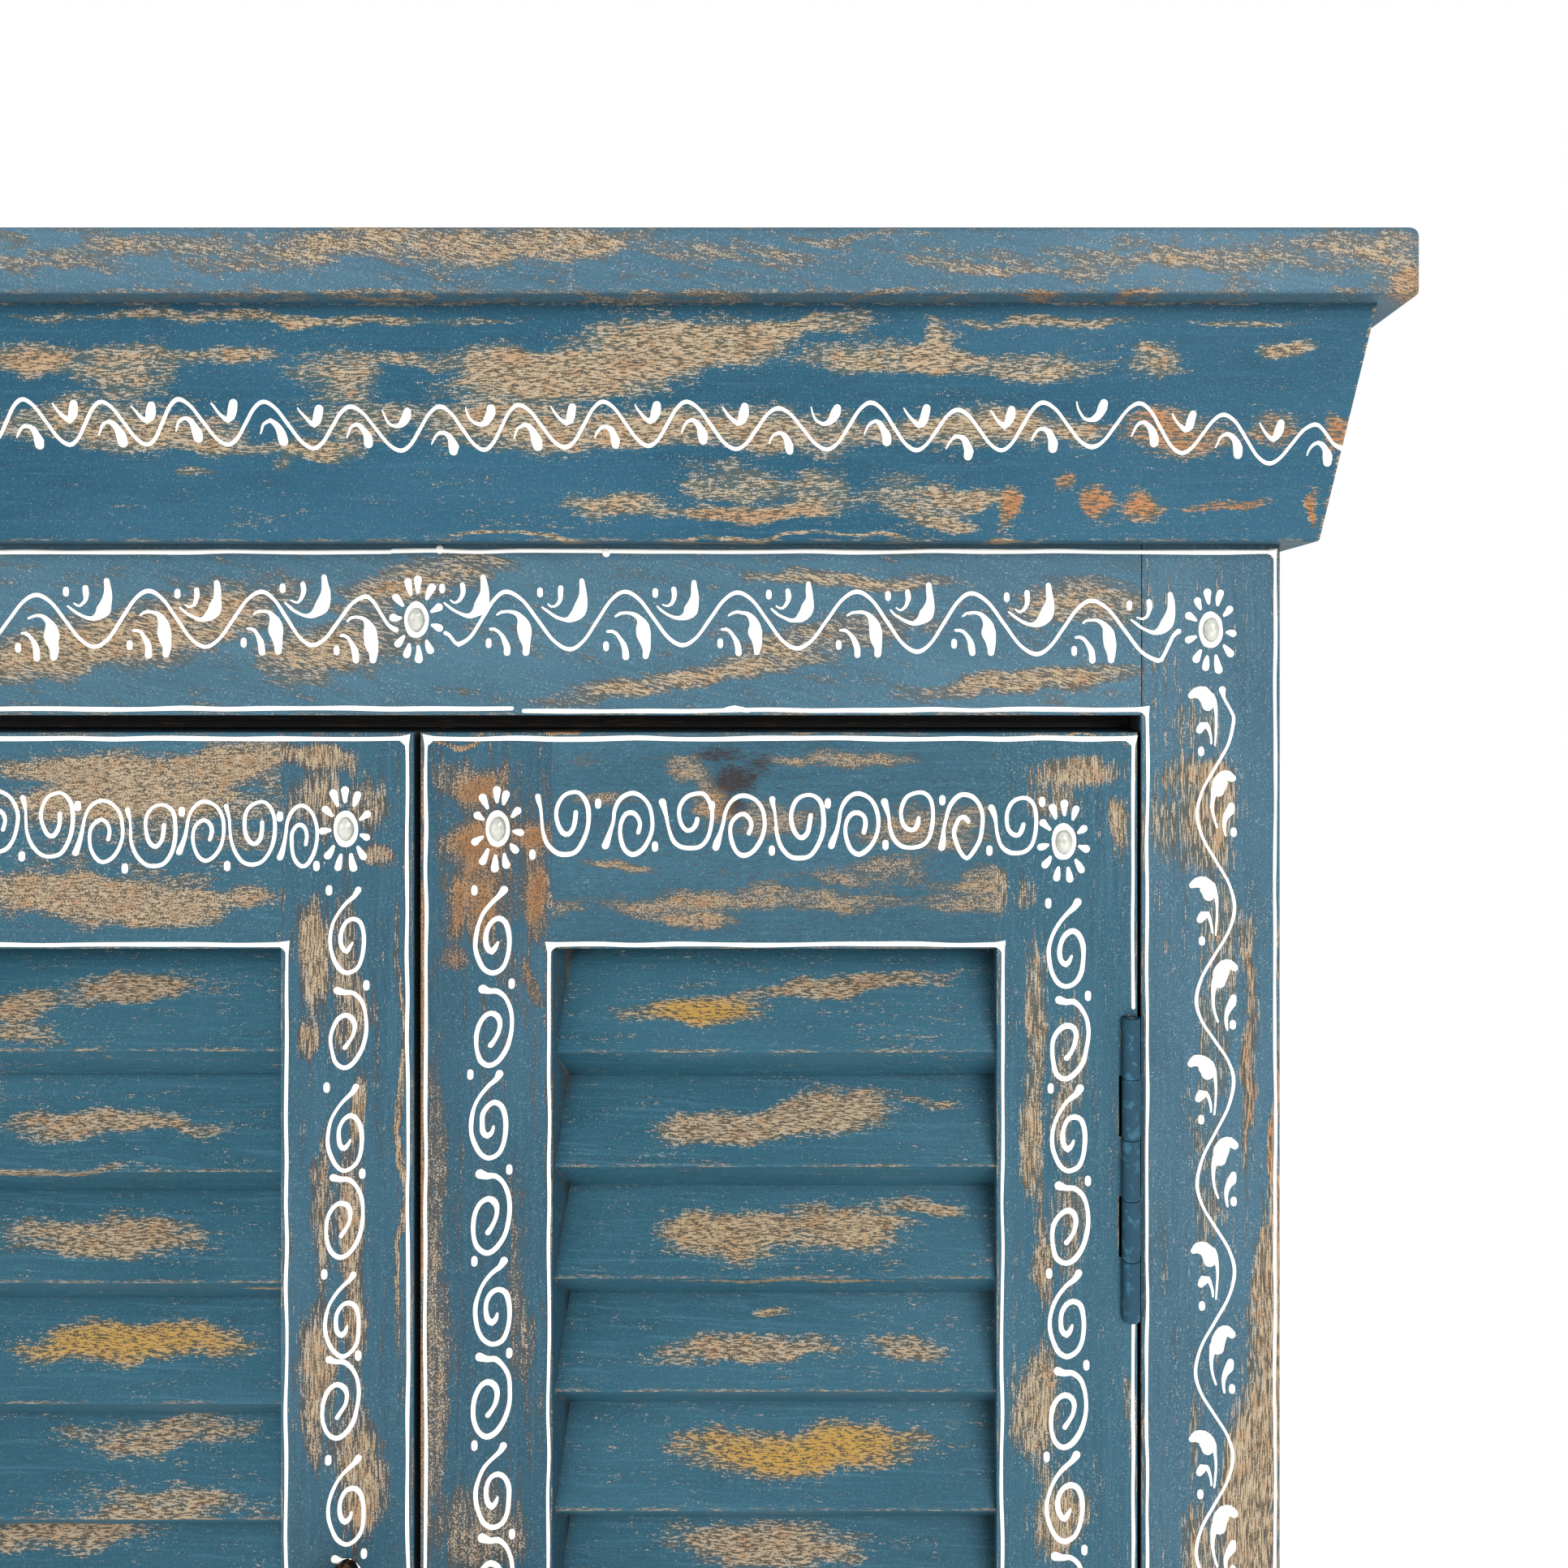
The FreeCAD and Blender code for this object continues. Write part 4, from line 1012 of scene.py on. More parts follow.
def ruled_line(corners: list[Place], half: float, rng: random.Random, blob: float = 1.0,
               ease: float = 2.6, slim: float = 0.74) -> Stroke:
    """A line ruled by hand from corner to corner, a little wavy, and fuller at the corners.

    Args:
        corners: The places that it goes through, in order.
        half: Half its width where it runs level.
        rng: The hand's unsteadiness.
        blob: How much fuller it is at each corner.
        ease: How far from a corner it starts to turn.
        slim: The share of that width where it runs upright.

    Returns:
        One stroke.
    """
    touches: list[Touch] = []
    for at, (start, end) in enumerate(zip(corners, corners[1:])):
        length = math.hypot(end[0] - start[0], end[1] - start[1])
        step = ((end[0] - start[0]) / length, (end[1] - start[1]) / length)
        near = ease if at else 0.0
        far = ease if at < len(corners) - 2 else 0.0
        wide = half * (slim if abs(step[1]) > abs(step[0]) else 1.0)
        parts = max(1, round((length - near - far) / 15.0))
        for part in range(parts + 1):
            go = near + (length - near - far) * part / parts
            stray = rng.uniform(-0.28, 0.28) if 0 < part < parts else 0.0
            touches.append((
                start[0] + step[0] * go - step[1] * stray, start[1] + step[1] * go + step[0] * stray,
                wide * rng.uniform(0.86, 1.14)))
        if far:
            touches.append((end[0] - step[0] * 0.3, end[1] - step[1] * 0.3, half * blob))
    return Stroke(tuple(touches))


def flower(across: float, up: float, rng: random.Random, petals: int = 11) -> list[Stroke]:
    """A flower round a stone: an oval ring and teardrop petals that are fat at their outer ends.

    Args:
        across: The stone's middle across the face.
        up: The stone's middle up the face.
        rng: The painter's hand.
        petals: How many petals it has.

    Returns:
        The ring and the petals.
    """
    ring = []
    ring_parts = 14
    for part in range(ring_parts):
        angle = math.radians(90 + part * 360 / ring_parts)
        full = 1.0 + (0.75 if part < ring_parts / 2 else 0.4) * abs(math.sin(angle)) ** 2
        ring.append((across + 3.7 * math.cos(angle), up + 5.5 * math.sin(angle), 0.74 * full))
    strokes = [Stroke(tuple(ring), True).unsteady(rng, 0.1)]
    turn = rng.uniform(-9, 9)
    for part in range(petals):
        angle = math.radians(90 + turn + part * 360 / petals + rng.uniform(-4, 4))
        reach = rng.uniform(0.93, 1.04)
        inner = (across + 5.9 * math.cos(angle), up + 10.0 * math.sin(angle))
        outer = (across + 8.3 * reach * math.cos(angle), up + 14.5 * reach * math.sin(angle))
        middle = ((inner[0] + outer[0]) / 2, (inner[1] + outer[1]) / 2)
        petal = Stroke(((*inner, 0.64), (*middle, 1.12), (*outer, 1.4)))
        strokes.append(petal.unsteady(rng, 0.12))
    return strokes


def wave(turns: list[Place], half: float, rng: random.Random) -> Stroke:
    """A vine's stem through its turning places, thinner where it is pulled fast between them.

    Args:
        turns: The turning places, in order.
        half: Half the stem's width at a turning place.
        rng: The painter's hand.

    Returns:
        One stroke.
    """
    touches: list[Touch] = []
    for start, end in zip(turns, turns[1:]):
        upright = abs(end[1] - start[1]) > abs(end[0] - start[0]) * 1.9
        for part in range(4):
            t = part / 4
            swing = (1 - math.cos(math.pi * t)) / 2
            first, second = (swing, t) if upright else (t, swing)
            width = half * (1.0 if part == 0 else 0.8) * rng.uniform(0.94, 1.08)
            touches.append((
                start[0] + (end[0] - start[0]) * first, start[1] + (end[1] - start[1]) * second, width))
    touches.append((*turns[-1], half * 1.25))
    return Stroke(tuple(touches))


def stone_places(node: str) -> list[Place]:
    """The middle of each stone of a node.

    Args:
        node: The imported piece, whose stones stand more than 20 mm apart.

    Returns:
        Each middle across and up the front, in millimetres.
    """
    groups: list[list[Vector]] = []
    for vertex in frame["nodes"][node].data.vertices:
        for group in groups:
            if (vertex.co - group[0]).length < 0.02:
                group.append(vertex.co.copy())
                break
        else:
            groups.append([vertex.co.copy()])
    return [(
        (min(p.x for p in group) + max(p.x for p in group)) / 2 / MM,
        (min(p.z for p in group) + max(p.z for p in group)) / 2 / MM) for group in groups]


@dataclass
class Carcass:
    """The fixed woodwork with its painted vines, lines and flowers."""

    sight: Sight
    rng: random.Random
    paint: Material
    line_half: float = 0.85
    line_gap: float = 2.2
    cornice_foot: float = 10.4
    cornice_end: float = -608.0
    cornice_swing: float = 15.0
    rail_swing: float = 10.4
    foot_swing: float = 8.2
    post_width: float = 50.5

    def __post_init__(self) -> None:
        """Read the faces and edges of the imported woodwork."""
        low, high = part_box("front_post_right")
        self.outer, self.inner = high.x / MM, low.x / MM
        self.face_y = low.y / MM
        self.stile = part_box("centre_stile")[1].x / MM
        rail_low, rail_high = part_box("frame_top_rail")
        self.rail_bottom, self.rail_top = rail_low.z / MM, rail_high.z / MM
        foot_low, foot_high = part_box("frame_bottom_rail")
        self.foot_bottom, self.foot_top = foot_low.z / MM, foot_high.z / MM
        self.front = Face(Vector((0, self.face_y, 0)), Vector((1, 0, 0)), Vector((0, 0, 1)))

    def cornice_faces(self) -> dict[str, Face]:
        """The three slanted faces of the cornice, from their feet.

        Returns:
            The faces by their sides.
        """
        head_low, head_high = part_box("cornice_front")
        foot_z, head_z = head_low.z / MM, head_high.z / MM
        lean = (head_high.x / MM - self.outer - self.cornice_foot) / (head_z - foot_z)
        foot_x, foot_y = self.outer + self.cornice_foot, self.face_y - self.cornice_foot
        up_front = Vector((0, -lean, 1)).normalized()
        up_right = Vector((lean, 0, 1)).normalized()
        up_left = Vector((-lean, 0, 1)).normalized()
        return {
            "front": Face(Vector((0, foot_y, foot_z)), Vector((1, 0, 0)), up_front),
            "right": Face(Vector((foot_x, 0, foot_z)), Vector((0, 1, 0)), up_right),
            "left": Face(Vector((-foot_x, 0, foot_z)), Vector((0, -1, 0)), up_left),
        }

    def cornice_vine(self, side: str, turns: list[Place]) -> None:
        """Paint a running vine with a comma over each trough and under each peak.

        Args:
            side: The side of the cornice.
            turns: The stem's turning places, in order.
        """
        work = PaintedWork("cornice_%s_vine" % side, "carcass", self.cornice_faces()[side])
        work.strokes.append(wave(turns, 0.76, self.rng))
        for before, (across, up), _ in zip(turns, turns[1:], turns[2:]):
            shape = self.rng.choice(COMMAS_OVER if up < before[1] else COMMAS_UNDER)
            comma = Stroke(shape).placed(across, up, self.rng.uniform(0.94, 1.05))
            work.strokes.append(comma.unsteady(self.rng, 0.15))
        work.build(self.paint)

    def cornice(self) -> None:
        """Paint the vine along the cornice's front and round both returns."""
        front = self.cornice_faces()["front"]
        peaks = [self.sight.onto(front, *peak) for peak in CORNICE_PEAKS]
        while peaks[0][0] > self.cornice_end:
            across = peaks[0][0] - self.rng.uniform(26.2, 29.4)
            peaks.insert(0, (across, peaks[0][1] + self.rng.uniform(-1.2, 1.2)))
        turns: list[Place] = []
        for peak, after in zip(peaks, peaks[1:]):
            trough = (peak[0] + (after[0] - peak[0]) * 0.52, (peak[1] + after[1]) / 2 - self.cornice_swing)
            turns.extend((peak, trough))
        turns.extend((peaks[-1], self.sight.onto(front, *CORNICE_END)))
        self.cornice_vine("front", [turn for turn in turns if turn[0] > self.cornice_end])
        near, far = self.face_y - 12, 194
        for side, start, end in (("left", -far, -near), ("right", near, far)):
            turns, across, high = [], start, True
            while across < end:
                turns.append((across, peaks[-1][1] + (2.5 if high else -12.0) + self.rng.uniform(-0.7, 0.7)))
                across += self.rng.uniform(14.0, 16.5)
                high = not high
            self.cornice_vine(side, turns)

    def rail_vine(self, turns: list[Place], strokes: list[Stroke], size: float = 1.0,
                  first: float = 0.0, last: float = 0.0) -> None:
        """A leafy vine: a dot, a sprig and a leaf over each trough and under each peak.

        Args:
            turns: The stem's turning places, in order.
            strokes: The list that the strokes are added to.
            size: How much larger the leaves are than the painter's usual ones.
            first: How far the first leaf stands to the right of its bend.
            last: How far the last leaf stands to the right of its bend.
        """
        strokes.append(wave(turns, 0.8, self.rng))
        for before, (across, up), after in zip(turns, turns[1:], turns[2:]):
            if min(after[0] - across, across - before[0]) <= 4.0:
                continue
            trough = up < before[1] and up < after[1]
            across += first if before is turns[0] else last if after is turns[-1] else 0.0
            grown = size * self.rng.uniform(0.95, 1.04)
            # The picture's leaves under the peaks are slimmer in this stretch of the rail.
            slim = 0.86 if 100.0 < across < 287.0 and not trough else 1.0
            for shape in (LEAF_OVER, SPRIG_OVER) if trough else (LEAF_UNDER, SPRIG_UNDER):
                strokes.append(Stroke(shape).placed(across, up, grown, slim).unsteady(self.rng, 0.15))
            side = (-10.4, 19.9) if trough else (-6.6, -19.1)
            strokes.append(dot(across + side[0] * grown, up + side[1] * grown, 1.05, 1.8))

    def even_turns(self, start: float, end: float, middle: float, swing: float, count: int) -> list[Place]:
        """Turning places of a vine between two ends.

        Args:
            start: Its left end.
            end: Its right end.
            middle: Its height.
            swing: How far it swings up and down.
            count: How many troughs it has.

        Returns:
            The places, in order.
        """
        pitch = (end - start) / (count * 2 + 0.6)
        turns = [(start, middle - swing * 0.4)]
        for at in range(count * 2):
            high = at % 2 == 1
            turns.append((
                start + pitch * (at + 0.55) + self.rng.uniform(-1, 1),
                middle + (swing if high else -swing) + self.rng.uniform(-0.6, 0.6)))
        return turns + [(end - pitch * 0.35, middle - swing * 0.95), (end, middle + swing * 0.4)]

    def rails(self) -> None:
        """Paint the vines of the top and bottom rails."""
        work = PaintedWork("top_rail_vines", "carcass", self.front)
        right = [self.sight.onto(self.front, *turn) for turn in RAIL_TURNS]
        self.rail_vine(right, work.strokes, first=4.7)
        left = [self.sight.onto(self.front, *turn) for turn in LEFT_RAIL_TURNS]
        middle = (left[1][1] + left[2][1]) / 2
        while left[0][0] > 32:
            swing = self.rail_swing if left[0][1] < middle else -self.rail_swing
            left.insert(0, (left[0][0] - self.rng.uniform(19.5, 21.5), middle + swing))
        left = [turn for turn in left if turn[0] > 14]
        self.rail_vine(left, work.strokes, last=-3.6)
        pair = (self.stile + self.inner) / 2
        for start, end in ((-self.outer + 38, -pair - 12), (-pair + 12, -12)):
            self.rail_vine(self.even_turns(start, end, middle, self.rail_swing, 6), work.strokes)
        work.build(self.paint)
        work = PaintedWork("bottom_rail_vines", "carcass", self.front)
        middle = (self.foot_bottom + self.foot_top) / 2
        for start, end in ((-self.inner + 12, -self.stile - 12), (self.stile + 12, self.inner - 12)):
            self.rail_vine(self.even_turns(start, end, middle, self.foot_swing, 12), work.strokes, 0.8)
        work.build(self.paint)

    def post_vine(self, name: str, turns: list[Place]) -> None:
        """Paint an upright vine with a leaf, a sprig and a dot inside each bend.

        Args:
            name: The name of the piece.
            turns: The stem's turning places, from the top down.
        """
        work = PaintedWork(name, "carcass", self.front)
        stem = wave(turns, 0.68, self.rng)
        work.strokes.append(Stroke(((*turns[0], 1.35),) + stem.touches[1:]))
        for before, (across, up), after in zip(turns, turns[1:], turns[2:]):
            right = across > before[0] and (across > after[0] or after is turns[-1])
            shapes, side = (POST_LEAF_RIGHT, POST_TAIL_RIGHT, POST_SPRIG_RIGHT), (13.2, -7.6)
            if right:
                shapes, side = (POST_LEAF_LEFT, POST_TAIL_LEFT, POST_SPRIG_LEFT), (-11.8, -12.6)
            grown, drop = self.rng.uniform(0.95, 1.04), self.rng.uniform(-1.6, 2.0)
            for shape in shapes:
                work.strokes.append(Stroke(shape).placed(across, up + drop, grown).unsteady(self.rng, 0.1))
            work.strokes.append(dot(across + side[0], up + side[1] + drop, 1.15, 1.75))
        work.build(self.paint)

    def posts(self) -> None:
        """Paint the vines of both posts and the centre stile."""
        seen = [self.sight.onto(self.front, *turn) for turn in POST_TURNS]
        while seen[-1][1] > 62:
            bend = seen[-2][0] + self.rng.uniform(-0.6, 0.6)
            seen.append((bend, seen[-1][1] - self.rng.uniform(32.0, 35.5)))
        self.post_vine("right_post_vine", seen)
        middle = self.sight.onto(self.front, 1498, 900)[0]
        for name, shift in (("left_post_vine", self.post_width - 2 * self.outer), ("centre_vine", -middle)):
            turns = [
                (x + shift + self.rng.uniform(-0.5, 0.5), z + self.rng.uniform(-1.2, 1.2)) for x, z in seen]
            self.post_vine(name, turns)

    def lines(self) -> None:
        """Rule the white lines round the frame and round each pair of doors."""
        work = PaintedWork("frame_lines", "carcass", self.front, step=2.5)
        out, top = self.outer - 2.0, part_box("cornice_front")[0].z / MM - 2.7
        # The painter lifted the cone twice along the top, and left two blobs there.
        runs = [
            ([(-out, 5.0), (-out, top), (0.0, top)], 1.5), ([(0.0, top), (278.0, top)], 1.5),
            ([(279.0, top + 0.3), (out, top), (out, 5.0)], 1.6)]
        high, low = self.rail_bottom + self.line_gap, self.foot_top - self.line_gap
        seen_split = self.sight.onto(self.front, 638, 876)[0]
        for side in (-1, 1):
            near, far = side * (self.stile - self.line_gap), side * (self.inner + self.line_gap)
            split = seen_split * side
            runs.append((
                [(split - side * 2.2, high + 0.4), (near, high), (near, low), (split + 30 * side, low)], 1.5))
            runs.append((
                [(split + side * 2.2, high - 0.5), (far, high), (far, low), (split + 32 * side, low)], 1.7))
        for corners, blob in runs:
            work.strokes.append(ruled_line(corners, self.line_half, self.rng, blob))
        for bump in ((542, 677), (747, 681)):
            work.strokes.append(dot(*self.sight.onto(self.front, *bump), 1.5, 1.6))
        across, up = self.sight.onto(self.front, 905, 873)
        work.strokes.append(Stroke((
            (across - 4, up - 0.6, 0.7), (across, up, 1.2), (across + 5, up - 0.8, 0.7))))
        work.build(self.paint)

    def flowers(self) -> None:
        """Paint a flower round each stone of the frame."""
        work = PaintedWork("frame_flowers", "carcass", self.front, step=0.8)
        for across, up in stone_places("frame_stones"):
            work.strokes.extend(flower(across, up, self.rng))
        work.build(self.paint)

    def build(self) -> None:
        """Paint all of the fixed woodwork."""
        for part in (self.cornice, self.rails, self.posts, self.lines, self.flowers):
            part()


@dataclass
class Door:
    """One louvred door: its painted borders, scrolls and flowers."""

    number: int
    hand: int
    front: Face
    sight: Sight
    rng: random.Random
    paint: Material
    seen_row: tuple[tuple[str, float, float, float], ...] = ()
    seen_dots: tuple[Place, ...] = ()
    seen_columns: dict[str, tuple[tuple[str, float, float], ...]] = field(default_factory=dict)
    fullness: float = 1.0
    hinge_gap: float = 3.0
    flower_reach: float = 12.0
    curl_dot: Place = (6.6, 15.6)

    def __post_init__(self) -> None:
        """Read the door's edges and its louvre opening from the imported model."""
        self.body = "door_%d" % self.number
        meeting = [corner.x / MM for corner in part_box(self.body + "_meeting_stile")]
        hinge = [corner.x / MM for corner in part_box(self.body + "_hinge_stile")]
        if self.hand < 0:
            meeting.reverse()
            hinge.reverse()
        self.free, self.open_free = meeting
        self.open_hung, self.hung = hinge
        self.open_top, self.top = (corner.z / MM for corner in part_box(self.body + "_top_rail"))
        self.bottom, self.open_bottom = (corner.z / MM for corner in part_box(self.body + "_bottom_rail"))
        self.stones = stone_places(self.body + "_stones")

    def borders(self) -> None:
        """Rule the line round the door, broken at its hinges, and the line round its louvres."""
        work = PaintedWork(self.body + "_borders", self.body, self.front, step=2.5)
        hand, gap = self.hand, self.hinge_gap
        free, hung = self.free + hand * 1.7, self.hung - hand * 1.6
        top, bottom = self.top - 2.2, self.bottom + 2.2
        leaves = [vertex.co.z / MM for vertex in frame["nodes"][self.body + "_hinge_leaves"].data.vertices]
        middle = (self.top + self.bottom) / 2
        upper = [z for z in leaves if z > middle]
        lower = [z for z in leaves if z <= middle]
        over = 1.7
        left, right = sorted((self.open_free - hand * over, self.open_hung + hand * over))
        high, low = self.open_top + over, self.open_bottom - over
        across = (left + right) / 2
        for corners, half, blob in (
                ([(hung, max(upper) + gap), (hung, top), (free + hand * 0.6, top), (free, bottom),
                  (hung, bottom), (hung, min(lower) - gap)], 0.9, 1.9),
                ([(hung, min(upper) - gap), (hung, max(lower) + gap)], 0.82, 1.0),
                ([(across, low), (left, low), (left + 0.6, high), (right + 0.5, high), (right - 0.4, low),
                  (across + 1.5, low)], 0.85, 1.8)):
            work.strokes.append(ruled_line(corners, half, self.rng, blob))
        work.build(self.paint)

    def scroll(self, kind: str, across: float, up: float, wide: float = 1.0) -> Stroke:
        """One scroll by this painter's hand.

        Args:
            kind: Its kind.
            across: Its middle across the door.
            up: Its middle up the door.
            wide: How much wider it is than usual.

        Returns:
            One stroke.
        """
        shape = tuple((x, y, half * self.fullness) for x, y, half in SCROLLS[kind])
        return Stroke(shape).placed(across, up, self.rng.uniform(0.97, 1.03), wide).unsteady(self.rng, 0.16)

    def row(self, up: float, start: float, end: float) -> list[Stroke]:
        """A row of scrolls and dots between two flowers.

        Args:
            up: Its height.
            start: Its left end.
            end: Its right end.

        Returns:
            The strokes, from left to right.
        """
        strokes = []
        count = max(3, round((end - start) / 20.4)) | 1
        pitch = (end - start) / count
        for at in range(count):
            across = start + pitch * (at + 0.5) + self.rng.uniform(-0.6, 0.6)
            kind = self.rng.choice(("cup", "wide_cup") if at % 2 == 0 else ("crook", "open_crook"))
            lift = self.rng.uniform(-0.8, 0.8)
            strokes.append(self.scroll(kind, across, up + lift, min(1.0, pitch / 20.0)))
            side = (pitch * 0.54, 8.2) if at % 2 == 0 else (pitch * 0.42, -8.8)
            if at < count - 1:
                strokes.append(dot(across + side[0], up + side[1] + lift))
        return strokes

    def curl(self, kind: str, across: float, up: float) -> list[Stroke]:
        """A curl of a column, and the dot over its tail.

        Args:
            kind: Whether it opens to the left or to the right.
            across: Its middle across the door.
            up: Its middle up the door.

        Returns:
            Both strokes.
        """
        side, rise = self.curl_dot
        spot = dot(across + (side if kind == "right" else -side), up + rise)
        return [self.scroll(kind, across, up), spot]

    def column(self, across: float, start: float, end: float, turned: bool = False) -> list[Stroke]:
        """A column of curls and dots between two flowers.

        Args:
            across: Its middle across the door.
            start: Its upper end.
            end: Its lower end.
            turned: Whether it starts with a curl to the right.

        Returns:
            The strokes, from the top down.
        """
        strokes = []
        count = max(3, round((start - end) / 33.0))
        pitch = (start - end) / count
        for at in range(count):
            up = start - pitch * (at + 0.5) + self.rng.uniform(-0.8, 0.8)
            kind = "right" if (at % 2 == 1) != turned else "left"
            strokes.extend(self.curl(kind, across + self.rng.uniform(-0.6, 0.6), up))
        return strokes

    def scrolls(self) -> None:
        """Paint the scrolls along the rails and down the stiles, those that are seen by their places."""
        work = PaintedWork(self.body + "_scrolls", self.body, self.front)
        for kind, across, down, wide in self.seen_row:
            work.strokes.append(self.scroll(kind, *self.sight.onto(self.front, across, down), wide))
        for across, down in self.seen_dots:
            work.strokes.append(dot(*self.sight.onto(self.front, across, down)))
        half_way = (self.top + self.bottom) / 2
        high = sorted(stone for stone in self.stones if stone[1] > half_way)
        low = sorted(stone for stone in self.stones if stone[1] < half_way)
        start, end = high[0][0] + self.flower_reach, high[1][0] - self.flower_reach
        if self.seen_row:
            end = min(self.sight.onto(self.front, entry[1], 0)[0] for entry in self.seen_row) - 10
        if end - start > 30:
            work.strokes.extend(self.row((high[0][1] + high[1][1]) / 2, start, end))
        start, end = low[0][0] + self.flower_reach, low[1][0] - self.flower_reach
        work.strokes.extend(self.row((low[0][1] + low[1][1]) / 2, start, end))
        for side, upper, lower in zip(("left", "right"), high, low):
            across, top, turned = upper[0], upper[1] - 21.0, False
            for kind, column, down in self.seen_columns.get(side, ()):
                across, up = self.sight.onto(self.front, column, down)
                work.strokes.extend(self.curl(kind, across, up))
                top, turned = up - 16.8, kind == "left"
            work.strokes.extend(self.column(across, top, lower[1] + 19.0, turned))
        work.build(self.paint)

    def flowers(self) -> None:
        """Paint a flower round each stone of the door."""
        work = PaintedWork(self.body + "_flowers", self.body, self.front, step=0.8)
        for across, up in self.stones:
            work.strokes.extend(flower(across, up, self.rng))
        work.build(self.paint)

    def build(self) -> None:
        """Paint the whole door."""
        for part in (self.borders, self.scrolls, self.flowers):
            part()


